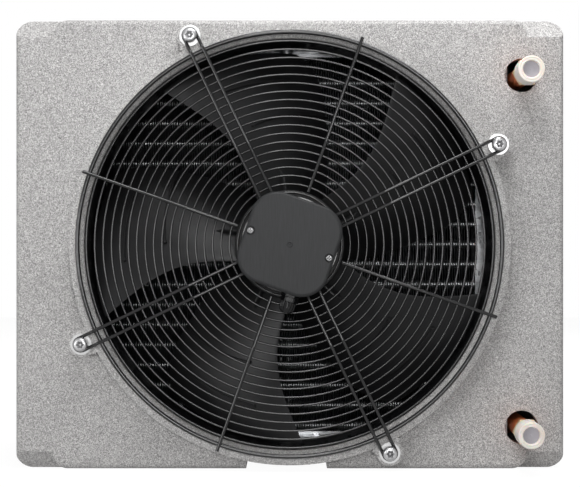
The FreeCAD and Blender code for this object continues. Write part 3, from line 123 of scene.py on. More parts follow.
# %% [markdown]
# ## Building node trees with little code
# Shader trees and geometry trees are both nodes with sockets, so one small class can build
# either. Its `add` makes a node, sets its plain properties, and links or fills its inputs.
# A value that is a socket becomes a link, and anything else is the socket's own value.


# %% A helper for node trees
class Nodes:
    """Short calls that fill a node tree."""

    def __init__(self, tree):
        self.tree = tree

    def add(self, kind, inputs=None, **settings):
        node = self.tree.nodes.new(kind)
        for name, value in settings.items():
            setattr(node, name, value)
        for key, value in (inputs or {}).items():
            self.put(node.inputs[key], value)
        return node

    def put(self, socket, value):
        if isinstance(value, bpy.types.NodeSocket):
            self.tree.links.new(value, socket)
        else:
            socket.default_value = value

    def math(self, operation, one, two=0.0):
        return self.add("ShaderNodeMath", {0: one, 1: two}, operation=operation).outputs[0]

    def vector(self, **parts):
        return self.add("ShaderNodeCombineXYZ", parts).outputs[0]


# %% [markdown]
# A finish is such a tree for a material. It starts from one colour and one roughness, and each
# `shade` multiplies the colour so far by a grey that follows a pattern.

# %% A helper for materials
class Finish(Nodes):
    """A material with a Principled shader, its object coordinates and a bump at hand."""

    def __init__(self, name, colour, roughness, metallic=0.0, **sockets):
        self.material = bpy.data.materials.new(name)
        self.material.use_nodes = True
        super().__init__(self.material.node_tree)
        self.shader = self.tree.nodes["Principled BSDF"]
        self.place = self.add("ShaderNodeTexCoord").outputs["Object"]
        self.tint = (*colour, 1.0)
        self.colour(self.tint)
        self.put(self.shader.inputs["Roughness"], roughness)
        self.put(self.shader.inputs["Metallic"], metallic)
        for name_of_socket, value in sockets.items():
            self.put(self.shader.inputs[name_of_socket.replace("_", " ")], value)
        self.normal = None

    def noise(self, scale, detail=2.0, roughness=0.5, stretch=None):
        place = self.place
        if stretch:
            place = self.add("ShaderNodeMapping", {"Vector": place, "Scale": stretch}).outputs[0]
        inputs = {"Vector": place, "Scale": scale, "Detail": detail, "Roughness": roughness}
        return self.add("ShaderNodeTexNoise", inputs).outputs["Fac"]

    def cells(self, scale, output="Color", feature="F1"):
        inputs = {"Vector": self.place, "Scale": scale}
        return self.add("ShaderNodeTexVoronoi", inputs, feature=feature).outputs[output]

    def ramp(self, value, *stops):
        """A colour ramp from (place, grey or colour) stops."""
        node = self.add("ShaderNodeValToRGB", {"Fac": value})
        elements = node.color_ramp.elements
        while len(elements) < len(stops):
            elements.new(0.5)
        for element, (place, shade) in zip(elements, stops):
            element.position = place
            colour = shade if isinstance(shade, tuple) else (shade, shade, shade)
            element.color = (*colour, 1.0)
        return node.outputs["Color"]

    def colour(self, value):
        self.put(self.shader.inputs["Base Color"], value)

    def shade(self, value, *stops):
        """Multiplies the colour so far by a grey ramp over a value."""
        node = self.add("ShaderNodeMix", {"Factor": 1.0}, data_type="RGBA", blend_type="MULTIPLY")
        self.put(node.inputs[6], self.tint)
        self.put(node.inputs[7], self.ramp(value, *stops))
        self.tint = node.outputs[2]
        self.colour(self.tint)

    def tones(self, value, *stops):
        """Colours the surface by a ramp over a value."""
        self.colour(self.ramp(value, *stops))

    def roughness(self, value, low, high):
        ranged = self.add("ShaderNodeMapRange", {"Value": value, "To Min": low, "To Max": high})
        self.put(self.shader.inputs["Roughness"], ranged.outputs[0])

    def bump(self, height, distance_mm, strength=1.0):
        """Adds relief; each call rides on the one before."""
        inputs = {"Height": height, "Distance": distance_mm * MM, "Strength": strength}
        if self.normal is not None:
            inputs["Normal"] = self.normal
        self.normal = self.add("ShaderNodeBump", inputs).outputs[0]
        self.put(self.shader.inputs["Normal"], self.normal)

    def grooves(self, axis, pitch_mm, distance_mm, strength=0.8):
        """Relief of fine turns or sheets that follow one another along an axis."""
        place = self.add("ShaderNodeSeparateXYZ", {"Vector": self.place}).outputs[axis]
        wave = self.math("SINE", self.math("MULTIPLY", place, 2 * math.pi / (pitch_mm * MM)))
        self.bump(wave, distance_mm, strength)


# %% [markdown]
# ## Studio, floor and light
# A product picture on white needs a white surround, but the light on the object has to stay
# at a plain level. So the world and the floor look white to the camera through Light Path,
# and the lamps are set by the object alone. A lamp close above the plate grazes it, which
# makes the bright top, the halo above the ring and the shadow below it. A softbox behind the
# camera gives every wire and dome its small highlight. The left lamp puts a sheen on the
# blades at the left, and the front lamp serves the views of the outlet.

# %% Make the world and the floor
WHITE = (1.0, 1.0, 1.0, 1.0)
world = bpy.data.worlds.new("studio")
bpy.context.scene.world = world
world.use_nodes = True
sky = Nodes(world.node_tree)


def seen_directly(nodes):
    """1 for the camera, for reflections and for what is seen through glass, and 0 for light."""
    rays = nodes.add("ShaderNodeLightPath").outputs
    mirrored = nodes.math("MAXIMUM", rays["Is Glossy Ray"], rays["Is Transmission Ray"])
    return nodes.math("MAXIMUM", rays["Is Camera Ray"], mirrored)


ambient = sky.add("ShaderNodeBackground", {"Color": WHITE, "Strength": 0.1}).outputs[0]
white = sky.add("ShaderNodeBackground", {"Color": WHITE, "Strength": 1.0}).outputs[0]
sky_mix = sky.add("ShaderNodeMixShader", {0: seen_directly(sky), 1: ambient, 2: white})
sky.put(world.node_tree.nodes["World Output"].inputs["Surface"], sky_mix.outputs[0])

floor_half = 3.0
glow_strength = 1.12
glow_amount = 0.85
floor_corners = [
    (-floor_half, -floor_half, 0), (floor_half, -floor_half, 0),
    (floor_half, floor_half, 0), (-floor_half, floor_half, 0),
]
floor = from_points("floor", floor_corners, faces=[(0, 1, 2, 3)])
floor_look = Finish("floor", (0.45, 0.45, 0.45), 0.9)
glow = floor_look.add("ShaderNodeEmission", {"Color": WHITE, "Strength": glow_strength}).outputs[0]
glow_share = floor_look.math("MULTIPLY", seen_directly(floor_look), glow_amount)
floor_mix = floor_look.add("ShaderNodeMixShader", {
    0: glow_share, 1: floor_look.shader.outputs[0], 2: glow,
})
floor_look.put(floor_look.tree.nodes["Material Output"].inputs["Surface"], floor_mix.outputs[0])
floor.data.materials.append(floor_look.material)


# %% Hang the lamps
def lamp(name, place, size, watts):
    """A rectangular area lamp that looks at the fan's centre."""
    data = bpy.data.lights.new(name, "AREA")
    data.shape = "RECTANGLE"
    data.size, data.size_y = size
    data.energy = watts
    light = new_object(name, data)
    light.location = place
    light.visible_camera = False
    light.rotation_mode = "QUATERNION"
    light.rotation_quaternion = (Vector(fan_centre) - Vector(place)).to_track_quat("-Z", "Y")


lamp("grazing lamp", (0.2, -0.4, 1.15), (0.9, 0.15), 9.5)
lamp("softbox", (0.1, -1.8, 0.42), (0.44, 0.44), 10.5)
lamp("top lamp", (-0.1, -1.1, 1.3), (0.3, 0.3), 4.0)
lamp("left lamp", (-1.11, -1.07, 0.25), (0.45, 0.45), 6.4)
lamp("front lamp", (0.4, 1.7, 1.4), (1.4, 1.0), 34.0)

# %% [markdown]
# ## Making meshes
# Most pieces are one of three things: a profile turned about an axis, a row of outlines with a
# skin between them, or a copy of a CAD node with softer edges. The last keeps the exact shape
# of the part and adds the small round that every moulded or pressed edge has, so that edges
# catch the light.

# %% Pieces and smooth shading
CLOSE = 1e-7


def smooth(mesh, angle=35.0):
    mesh.polygons.foreach_set("use_smooth", [True] * len(mesh.polygons))
    mesh.set_sharp_from_angle(angle=math.radians(angle))


def plain(name, shape):
    """A piece from a bmesh as it stands."""
    mesh = bpy.data.meshes.new(name)
    shape.to_mesh(mesh)
    shape.free()
    return new_object(name, mesh)


def from_bmesh(name, shape, smooth_angle=35.0):
    """A piece from a bmesh, with outward faces and smooth shading up to an angle."""
    bmesh.ops.recalc_face_normals(shape, faces=shape.faces)
    piece = plain(name, shape)
    smooth(piece.data, smooth_angle)
    return piece


def baked(piece):
    """Swaps a piece's modifiers for the plain mesh that they make."""
    bpy.context.view_layer.update()
    graph = bpy.context.evaluated_depsgraph_get()
    result = bpy.data.meshes.new_from_object(piece.evaluated_get(graph))
    piece.modifiers.clear()
    piece.data = result
    return piece


def modified(piece, kind, **settings):
    """Runs one modifier on a piece."""
    modifier = piece.modifiers.new(kind.lower(), kind)
    for key, value in settings.items():
        setattr(modifier, key, value)
    return baked(piece)


def even(piece, angle=35.0):
    """Smooth shading in which big flat faces stay flat and only the rounds between them bend."""
    smooth(piece.data, angle)
    return modified(piece, "WEIGHTED_NORMAL", keep_sharp=True, weight=100)


def merged(name, pieces):
    """Joins loose pieces of one body into one."""
    shape = bmesh.new()
    for piece in pieces:
        mesh = piece.data
        shape.from_mesh(mesh)
        bpy.data.objects.remove(piece)
        bpy.data.meshes.remove(mesh)
    return plain(name, shape)


# %% Skins between rows of points
def strip(shape, one, two):
    """Faces between two open rows of points."""
    for k in range(len(one) - 1):
        shape.faces.new((one[k], one[k + 1], two[k + 1], two[k]))


def plate_between(shape, rear, front):
    """Closes two grids of points, one for each skin, into one plate."""
    for grid in (rear, front):
        for one, two in zip(grid, grid[1:]):
            strip(shape, one, two)
    for end in (0, -1):
        strip(shape, rear[end], front[end])
        strip(shape, [line[end] for line in rear], [line[end] for line in front])


def join_rows(shape, rows):
    """Faces between rows of points that run all the way round."""
    for one, two in zip(rows, rows[1:]):
        for k in range(len(one)):
            after = (k + 1) % len(one)
            shape.faces.new((one[k], one[after], two[after], two[k]))


def skin_through(shape, sections):
    """Joins closed outlines of equally many points into one closed body."""
    rows = [[shape.verts.new(point) for point in section] for section in sections]
    join_rows(shape, rows)
    shape.faces.new(rows[0])
    shape.faces.new(rows[-1])


def round_rows(shape, outline, steps, place):
    """A row of points round an axis for each (radius at a turn, level along the axis)."""
    rows = []
    for radius_at, along in outline:
        row = []
        for step in range(steps):
            turn = 2 * math.pi * step / steps
            radius = radius_at(turn)
            row.append(shape.verts.new(place(radius * math.cos(turn), radius * math.sin(turn), along)))
        rows.append(row)
    return rows


def circle(radius):
    return lambda turn: radius


def hexagon(corner, limit):
    """A hexagon's outline, cut back to a circle at its corners for the turned chamfer."""
    def radius_at(turn):
        side = turn % math.radians(60) - math.radians(30)
        return min(corner * math.cos(math.radians(30)) / math.cos(side), limit)
    return radius_at


def stand(shape, place, up):
    """Moves a shape made about the Z axis to a place and turns it to point up from there."""
    turn = up.to_track_quat("Z", "Y").to_matrix().to_4x4()
    bmesh.ops.transform(shape, matrix=Matrix.Translation(place) @ turn, verts=shape.verts)


# %% Turned profiles
def in_metres(profile, start=0.0):
    """A (radius, along) profile in millimetres, from a level in metres on its axis."""
    return [(radius * MM, start + along * MM) for radius, along in profile]


def lathe_point(across, up, along, centre, axis):
    order = {"X": (along, across, up), "Y": (across, along, up), "Z": (across, up, along)}
    return Vector(centre) + Vector(order[axis])


def lathe(shape, profile, centre, steps, axis="Y"):
    """Turns (radius, along) points in metres about an axis through centre. Radius 0 is a pole."""
    rings = []
    for radius, along in profile:
        if radius < CLOSE:
            rings.append([shape.verts.new(lathe_point(0, 0, along, centre, axis))])
            continue
        ring = []
        for step in range(steps):
            turn = 2 * math.pi * step / steps
            across, up = radius * math.cos(turn), radius * math.sin(turn)
            ring.append(shape.verts.new(lathe_point(across, up, along, centre, axis)))
        rings.append(ring)
    for one, two in zip(rings, rings[1:]):
        for step in range(steps):
            after = (step + 1) % steps
            corners = (
                one[step % len(one)], one[after % len(one)],
                two[after % len(two)], two[step % len(two)],
            )
            distinct = list(dict.fromkeys(corners))
            if len(distinct) > 2:
                shape.faces.new(distinct)


def closed_lathe(name, profile, centre=fan_centre, steps=96, axis="Y", smooth_angle=35.0):
    """A turned ring or solid whose profile closes on itself or at the axis."""
    shape = bmesh.new()
    closed = all(radius > CLOSE for radius, along in profile)
    lathe(shape, profile + profile[:1] if closed else profile, centre, steps, axis)
    bmesh.ops.remove_doubles(shape, verts=shape.verts, dist=CLOSE)
    return from_bmesh(name, shape, smooth_angle)


def rounded_profile(corners, radii, steps=4):
    """Corners of a closed (radius, along) profile, each rounded by its own radius."""
    points = []
    count = len(corners)
    for index, (corner, radius) in enumerate(zip(corners, radii)):
        here = Vector(corner)
        if radius == 0:
            points.append(tuple(here))
            continue
        before = (Vector(corners[index - 1]) - here).normalized()
        after = (Vector(corners[(index + 1) % count]) - here).normalized()
        turn = before.angle(after)
        reach = radius / math.tan(turn / 2)
        centre = here + (before + after).normalized() * (radius / math.sin(turn / 2))
        first = here + before * reach - centre
        last = here + after * reach - centre
        sweep = first.angle_signed(last)
        for step in range(steps + 1):
            arm = first.copy()
            arm.rotate(Matrix.Rotation(-sweep * step / steps, 2))
            points.append(tuple(centre + arm))
    return points


# %% [markdown]
# ### Copies of the CAD nodes
# A CAD node comes as loose triangles. Its merged copy gets a bevel on the sharp edges, and
# `dress` gives every finished piece its material, its body and the nodes that it stands for.

# %% Softened copies and the last step for every piece
MERGE_DISTANCE = 2e-6
FLAT_ANGLE = math.radians(0.5)


def shape_of(node):
    """The loose triangles of a CAD node, merged."""
    shape = bmesh.new()
    shape.from_mesh(frame["nodes"][node].data)
    bmesh.ops.remove_doubles(shape, verts=shape.verts, dist=MERGE_DISTANCE)
    return shape


def softened(node, name, radius_mm, segments=2, angle=40.0):
    """The CAD node's own shape with its flat faces joined up and a small round on sharp edges."""
    shape = shape_of(node)
    bmesh.ops.dissolve_limit(shape, angle_limit=FLAT_ANGLE, verts=shape.verts, edges=shape.edges)
    piece = plain(name, shape)
    modified(
        piece, "BEVEL", width=radius_mm * MM, segments=segments,
        limit_method="ANGLE", angle_limit=math.radians(angle),
    )
    return even(piece, angle)


def dress(piece, material, body, slot, *nodes):
    """Gives a finished piece its material, its body and the nodes it stands for. Its slot is not used."""
    piece.data.materials.clear()
    piece.data.materials.append(material)
    for polygon in piece.data.polygons:
        polygon.material_index = 0
    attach(piece, body)
    if nodes:
        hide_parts(*nodes)


def dress_copy(node, name, radius_mm, material, slot, body="casing", segments=2, angle=40.0):
    """Puts a softened copy in the place of a CAD node."""
    dress(softened(node, name, radius_mm, segments, angle), material, body, slot, node)


# %% [markdown]
# ## Geometry Nodes for what repeats
# A guard has nineteen rings, a coil has 162 fins and the fan has five blades. Typing or looping
# each one hides the rule, while a small node tree states it: copies along a line, copies round
# the fan, copies at marked places. Every tree below has named inputs, ends in Realize Instances
# and Set Material, and is run into plain meshes.


# %% A geometry tree and how to run it
class Rule(Nodes):
    """A geometry tree with named inputs; `run` gives a plain mesh object."""

    def __init__(self, name, **inputs):
        tree = bpy.data.node_groups.new(name, "GeometryNodeTree")
        for way in ("INPUT", "OUTPUT"):
            tree.interface.new_socket("Geometry", in_out=way, socket_type="NodeSocketGeometry")
        self.identifiers = {}
        for key, kind in {**inputs, "Finish": "Material"}.items():
            label = key.replace("_", " ")
            socket = tree.interface.new_socket(label, in_out="INPUT", socket_type="NodeSocket" + kind)
            self.identifiers[key] = socket.identifier
        super().__init__(tree)
        self.given = self.add("NodeGroupInput").outputs
        self.result = self.add("NodeGroupOutput")

    def copies(self, points, item, **settings):
        """Copies of an item at points, such as on the vertices of a mesh."""
        inputs = {"Points": points, "Instance": item, **settings}
        return self.add("GeometryNodeInstanceOnPoints", inputs).outputs[0]

    def end(self, geometry):
        real = self.add("GeometryNodeRealizeInstances", {"Geometry": geometry}).outputs[0]
        finish = self.add("GeometryNodeSetMaterial", {
            "Geometry": real, "Material": self.given["Finish"],
        })
        self.put(self.result.inputs["Geometry"], finish.outputs[0])
        return self

    def run(self, name, source, material, **values):
        """Runs the tree on a source, which is used up, or on nothing."""
        mesh = source.data if source else bpy.data.meshes.new(name + "_start")
        piece = new_object(name, mesh)
        modifier = piece.modifiers.new("rule", "NODES")
        modifier.node_group = self.tree
        for key, value in {**values, "Finish": material}.items():
            modifier[self.identifiers[key]] = value
        baked(piece)
        if source:
            bpy.data.objects.remove(source)
        print(name, "has", len(piece.data.polygons), "faces")
        return piece


# %% Copies round the fan
def make_round_rule():
    rule = Rule("copies round the fan", Count="Int", First_Angle="Float", Centre="Vector")
    given = rule.given
    places = rule.add("GeometryNodeMeshLine", {"Count": given["Count"], "Offset": (0, 0, 0)})
    index = rule.add("GeometryNodeInputIndex").outputs[0]
    step = rule.math("DIVIDE", 2 * math.pi, given["Count"])
    turn = rule.math("ADD", rule.math("MULTIPLY", index, step), given["First Angle"])
    spin = rule.vector(Y=rule.math("MULTIPLY", turn, -1.0))
    away = rule.add("ShaderNodeVectorMath", {0: given["Centre"], 1: (-1, -1, -1)}, operation="MULTIPLY")
    centred = rule.add("GeometryNodeTransform", {
        "Geometry": given["Geometry"], "Translation": away.outputs[0],
    })
    copies = rule.copies(places.outputs[0], centred.outputs[0], Rotation=spin)
    home = rule.add("GeometryNodeTransform", {"Geometry": copies, "Translation": given["Centre"]})
    return rule.end(home.outputs[0])


round_rule = make_round_rule()


def round_the_fan(piece, name, count, first_angle, material):
    first = math.radians(first_angle)
    return round_rule.run(name, piece, material, Count=count, First_Angle=first, Centre=fan_centre)


# %% [markdown]
# ## The fan guard
# The guard is welded from wire: nineteen thin rings and one thick outer ring lie on top of
# straight spokes. Near the middle the rings sink towards the motor together with the spokes.
# In the tree, each ring is a unit circle scaled by its own radius, its depth comes from that
# radius, and only then is it swept into a round wire, so that every ring keeps the same wire
# thickness.

# %% Guard sizes in millimetres
ring_count = 19
first_ring = 58.0
ring_step = 9.335
ring_wire = 1.15
outer_ring = 236.3
outer_ring_wire = 2.4
ring_points = 180
spoke_wire = 1.9
spoke_depth = -28.0
spoke_hub_depth = -20.4
spoke_start = 48.0
single_spoke_start = 62.0
single_spoke_end = 243.5
step_start = 241.0
step_end = 251.0
loop_steps = 12
sink_from = 121.0
sink_to = 58.0
weld_sink = 0.25
double_spoke_angle = 25.6
single_spoke_angle = 70.6
bolt_circle = 258.8
half_loop = 7.2
foot_depth = -18.5
wire_bend = 5.0
arc_steps = 6


def spoke_depth_at(radius):
    share = min(max((radius - sink_to) / (sink_from - sink_to), 0.0), 1.0)
    return spoke_hub_depth + (spoke_depth - spoke_hub_depth) * share


# %% Rings by a rule
def make_ring_rule():
    rule = Rule(
        "guard rings", Rings="Int", First_Radius="Float", Step="Float", Wire_Radius="Float",
        Centre="Vector", Flat_Depth="Float", Hub_Depth="Float", Sink_From="Float",
        Sink_To="Float", Wire_Sides="Int",
    )
    given = rule.given
    places = rule.add("GeometryNodeMeshLine", {"Count": given["Rings"], "Offset": (0, 0, 0)})
    index = rule.add("GeometryNodeInputIndex").outputs[0]
    radius = rule.math("ADD", rule.math("MULTIPLY", index, given["Step"]), given["First Radius"])
    ring = rule.add("GeometryNodeCurvePrimitiveCircle", {"Resolution": ring_points, "Radius": 1.0})
    rings = rule.copies(
        places.outputs[0], ring.outputs[0],
        Rotation=(math.radians(90), 0, 0), Scale=rule.vector(X=radius, Y=radius, Z=radius),
    )
    real = rule.add("GeometryNodeRealizeInstances", {"Geometry": rings}).outputs[0]
    spot = rule.add("GeometryNodeInputPosition").outputs[0]
    reach = rule.add("ShaderNodeVectorMath", {0: spot}, operation="LENGTH").outputs["Value"]
    depth = rule.add("ShaderNodeMapRange", {
        "Value": reach, "From Min": given["Sink To"], "From Max": given["Sink From"],
        "To Min": given["Hub Depth"], "To Max": given["Flat Depth"],
    }).outputs[0]
    drop = rule.add("ShaderNodeVectorMath", {0: rule.vector(Y=depth), 1: given["Centre"]}, operation="ADD")
    moved = rule.add("GeometryNodeSetPosition", {"Geometry": real, "Offset": drop.outputs[0]})
    return end_in_wire(rule, moved.outputs[0])


def end_in_wire(rule, curve, **settings):
    """Sweeps a curve into a round wire and ends the tree."""
    outline = rule.add("GeometryNodeCurvePrimitiveCircle", {
        "Resolution": rule.given["Wire Sides"], "Radius": rule.given["Wire Radius"],
    })
    swept = rule.add("GeometryNodeCurveToMesh", {
        "Curve": curve, "Profile Curve": outline.outputs[0], **settings,
    })
    return rule.end(swept.outputs[0])


ring_rule = make_ring_rule()


def guard_rings(name, count, radius, step, wire_radius, wire_sides):
    lift = spoke_wire + wire_radius - weld_sink
    return ring_rule.run(
        name, None, wire_paint,
        Rings=count, First_Radius=radius * MM, Step=step * MM, Wire_Radius=wire_radius * MM,
        Centre=(0.0, rear_plate, fan_height),
        Flat_Depth=(spoke_depth + lift) * MM, Hub_Depth=(spoke_hub_depth + lift) * MM,
        Sink_From=sink_from * MM, Sink_To=sink_to * MM, Wire_Sides=wire_sides,
    )


# %% [markdown]
# ### Spokes
# Each double spoke is one wire: it runs out beside the fan's radius, steps down to the ear,
# loops round the bolt and comes back. The route has few corners, each rounded by an arc, and
# the same sweep as before gives it its thickness. One spoke is made and turned four times.

# %% Bent wires
def bent_route(stations, side):
    """Straight runs joined by arcs, through (radius, depth) stations beside the fan's radius."""
    bend = wire_bend * MM
    corners = [
        Vector((radius * MM, at(depth), fan_height + side * MM)) for radius, depth in stations
    ]
    route = [corners[0]]
    for before, corner, after in zip(corners, corners[1:], corners[2:]):
        incoming = (corner - before).normalized()
        outgoing = (after - corner).normalized()
        turn = incoming.angle(outgoing)
        if turn < 1e-4:
            continue
        reach = bend * math.tan(turn / 2)
        centre = corner + (outgoing - incoming).normalized() * (bend / math.cos(turn / 2))
        arm = corner - incoming * reach - centre
        axis = incoming.cross(outgoing)
        for step in range(arc_steps + 1):
            route.append(centre + Matrix.Rotation(turn * step / arc_steps, 3, axis) @ arm)
    route.append(corners[-1])
    return route


def make_wire_rule():
    rule = Rule("wire along a route", Wire_Radius="Float", Wire_Sides="Int")
    curve = rule.add("GeometryNodeMeshToCurve", {"Mesh": rule.given["Geometry"]})
    return end_in_wire(rule, curve.outputs[0], **{"Fill Caps": True})


wire_rule = make_wire_rule()


def spoke(name, route):
    start = from_points(name + "_route", route, [(i, i + 1) for i in range(len(route) - 1)])
    piece = wire_rule.run(name, start, wire_paint, Wire_Radius=spoke_wire * MM, Wire_Sides=12)
    smooth(piece.data, 60)
    return piece


# %% [markdown]
# ## Finishes
# Each finish starts from what the surface is. Numbers that are the same all over sit on the
# shader's own sockets. What varies comes from noise and cell textures on Object coordinates
# in metres, so a scale of 1000 gives features of about a millimetre.


# %% Foam of the casing
# Foamed plastic is thousands of beads pressed together: fine light and dark specks, hairline
# seams where beads meet, and a few deeper pits whose darker colour is painted shade.
def foam_finish():
    look = Finish("foam_beads", (0.378, 0.371, 0.367), 0.62, Specular_IOR_Level=0.35)
    seams = look.cells(330.0, "Distance", "DISTANCE_TO_EDGE")
    grain = look.noise(1000.0, 1.5, 0.75)
    look.shade(look.cells(1500.0), (0.15, 0.5), (0.85, 1.5))
    look.shade(look.cells(820.0), (0.1, 0.72), (0.9, 1.28))
    look.shade(seams, (0.0, 0.8), (0.06, 1.0))
    # Painted shade: the pits are darkened in colour as if shade fell into them.
    look.shade(look.noise(430.0, 1.0), (0.24, 0.62), (0.34, 1.0))
    look.shade(look.noise(9.0, 4.0), (0.3, 0.94), (0.7, 1.05))
    look.bump(look.ramp(seams, (0.0, 0.0), (0.12, 1.0)), 0.14, 0.8)
    look.bump(grain, 0.22, 0.6)
    look.roughness(grain, 0.5, 0.75)
    return look.material


foam = foam_finish()

# %% Metals
fin_pitch = 3.0
core_sheet_pitch = 0.5
winding_pitch = 0.8


def spangled_zinc():
    """Galvanised sheet: broad crystals of slightly different grey, with rolled streaks."""
    look = Finish("galvanised_spangle", (0.55, 0.558, 0.572), 0.32, 1.0)
    crystals = look.cells(150.0)
    look.shade(crystals, (0.0, 0.78), (1.0, 1.08))
    look.shade(look.noise(60.0, 3.0, stretch=(1.0, 14.0, 14.0)), (0.3, 0.9), (0.7, 1.05))
    look.roughness(crystals, 0.24, 0.46)
    look.bump(look.noise(500.0), 0.03, 0.3)
    return look.material


def plated_screw(name, grey):
    """Zinc on small turned parts, with faint unevenness and handling dust."""
    look = Finish(name, (grey, grey, grey * 1.012), 0.24, 1.0)
    dust = look.noise(320.0, 4.0)
    look.shade(dust, (0.3, 0.7), (0.65, 1.1))
    look.roughness(dust, 0.26, 0.4)
    look.bump(look.noise(1600.0), 0.02, 0.4)
    return look.material


def clean_zinc():
    """Zinc of the stamped washers, even and without handling dust."""
    look = Finish("washer_zinc", (0.46, 0.46, 0.46), 0.3, 1.0)
    look.roughness(look.noise(400.0, 3.0), 0.22, 0.42)
    look.bump(look.noise(900.0), 0.03, 0.4)
    return look.material


def drawn_copper():
    """Copper tube darkened by air, with redder and browner clouds along it."""
    look = Finish("copper_tube", (0.62, 0.24, 0.1), 0.34, 1.0)
    clouds = look.noise(70.0, 5.0, stretch=(1.0, 0.3, 1.0))
    look.tones(clouds, (0.3, (0.52, 0.13, 0.045)), (0.55, (0.86, 0.26, 0.09)), (0.75, (0.95, 0.42, 0.19)))
    look.roughness(clouds, 0.28, 0.5)
    look.bump(look.noise(700.0, stretch=(1.0, 0.1, 1.0)), 0.02, 0.4)
    return look.material


def machined_brass():
    """Machined brass with faint tool marks round it and dull spots."""
    look = Finish("brass_adapter", (0.82, 0.62, 0.33), 0.26, 1.0)
    spots = look.noise(180.0, 4.0)
    look.tones(spots, (0.3, (0.62, 0.45, 0.22)), (0.5, (0.83, 0.64, 0.36)), (0.75, (0.9, 0.74, 0.47)))
    look.roughness(spots, 0.2, 0.42)
    look.bump(look.noise(900.0, stretch=(1.0, 12.0, 1.0)), 0.03, 0.5)
    return look.material


def fin_foil():
    """Rolled aluminium fin with small wrinkles, painted near black as shade deep in the casing."""
    look = Finish("fin_foil", (0.045, 0.0456, 0.0475), 0.5, 1.0)
    wrinkles = look.noise(160.0, 3.0, stretch=(1.0, 1.0, 0.35))
    look.shade(wrinkles, (0.3, 0.7), (0.7, 1.1))
    look.roughness(wrinkles, 0.26, 0.48)
    look.bump(wrinkles, 0.25, 0.5)
    return look.material


def fin_collars():
    """The fins' collars, darkened by painted shade less than the fins, so they show between them."""
    look = Finish("fin_collar", (0.28, 0.282, 0.286), 0.33, 1.0)
    look.grooves("X", fin_pitch, 0.1)
    look.tones(look.noise(120.0, 3.0), (0.3, (0.2, 0.202, 0.206)), (0.7, (0.36, 0.363, 0.37)))
    return look.material


def cast_alloy():
    """Cast aluminium of the motor flange, dark and slightly grainy."""
    look = Finish("cast_alloy", (0.3, 0.31, 0.33), 0.5, 1.0)
    grain = look.noise(900.0, 3.0)
    look.shade(grain, (0.3, 0.8), (0.7, 1.15))
    look.roughness(grain, 0.42, 0.62)
    look.bump(grain, 0.08, 0.6)
    return look.material


def ground_steel():
    """Ground steel of the shaft and bearings."""
    look = Finish("ground_steel", (0.66, 0.67, 0.69), 0.18, 1.0)
    rings = look.noise(600.0, stretch=(1.0, 8.0, 1.0))
    look.roughness(rings, 0.12, 0.28)
    look.shade(rings, (0.3, 0.9), (0.7, 1.03))
    return look.material


def stacked_sheets():
    """Stator and rotor cores: a stack of half-millimetre sheets, lacquered brown-grey."""
    look = Finish("core_sheets", (0.24, 0.23, 0.22), 0.42, 0.9)
    look.grooves("Y", core_sheet_pitch, 0.05, 0.6)
    look.tones(look.noise(200.0, 3.0), (0.3, (0.18, 0.17, 0.16)), (0.7, (0.3, 0.28, 0.27)))
    return look.material


def enamelled_winding():
    """Lacquered copper wire laid in turns."""
    look = Finish("winding_wire", (0.5, 0.17, 0.06), 0.3, 0.7)
    look.grooves("Y", winding_pitch, 0.2)
    look.tones(look.noise(300.0), (0.3, (0.38, 0.12, 0.04)), (0.7, (0.6, 0.22, 0.08)))
    return look.material


galvanised = spangled_zinc()
zinc = plated_screw("zinc_plated", 0.4)
# A darker copy of the same zinc: painted shade for the screw heads sunk in the cover.
shaded_zinc = plated_screw("zinc_dull", 0.2)
washer_zinc = clean_zinc()
copper = drawn_copper()
brass = machined_brass()
shaded_fin_metal = fin_foil()
collar_metal = fin_collars()
cast_metal = cast_alloy()
steel = ground_steel()
core_metal = stacked_sheets()
winding = enamelled_winding()


# %% Plastics and paint
def moulded(name, colour, roughness, grain_scale=700.0, grain_mm=0.04, dust=0.06, **sockets):
    """Moulded plastic: a fine grained skin, slow changes of tone and a little dust."""
    look = Finish(name, colour, roughness, **sockets)
    clouds = look.noise(28.0, 4.0)
    look.shade(clouds, (0.3, 1.0 - dust), (0.7, 1.0 + dust))
    look.roughness(clouds, roughness - 0.07, roughness + 0.09)
    look.bump(look.noise(grain_scale), grain_mm, 0.5)
    return look.material


def coated_wire():
    """Black coated wire: glossy, with the slight waviness of a dipped coat."""
    look = Finish("coated_wire", (0.004, 0.004, 0.0044), 0.14, Specular_IOR_Level=0.42)
    look.bump(look.noise(260.0), 0.05, 0.4)
    look.roughness(look.noise(90.0, 3.0), 0.09, 0.2)
    look.tones(look.noise(40.0, 3.0), (0.3, (0.002, 0.002, 0.0023)), (0.7, (0.006, 0.006, 0.0066)))
    return look.material


def brushed_cover():
    """The terminal cover's mould was finished with upright strokes, and they show as streaks."""
    look = Finish("cover_plastic", (0.026, 0.0265, 0.0275), 0.42, Specular_IOR_Level=0.12)
    strokes = look.noise(210.0, 4.0, 0.65, (9.0, 1.0, 0.28))
    look.shade(strokes, (0.32, 0.74), (0.5, 1.0), (0.7, 1.34))
    look.roughness(strokes, 0.34, 0.54)
    look.bump(strokes, 0.05, 0.5)
    look.bump(look.noise(1400.0), 0.03, 0.4)
    return look.material


def milky_cap():
    """Soft translucent polythene: light spreads inside, and the skin is faintly clouded."""
    look = Finish(
        "cap_polythene", (0.72, 0.65, 0.57), 0.42,
        Subsurface_Weight=0.3, Subsurface_Scale=0.002, Specular_IOR_Level=0.3,
    )
    flow = look.noise(90.0, 3.0)
    look.tones(flow, (0.3, (0.7, 0.635, 0.57)), (0.7, (0.79, 0.74, 0.69)))
    look.roughness(flow, 0.28, 0.46)
    look.bump(look.noise(350.0), 0.05, 0.5)
    return look.material


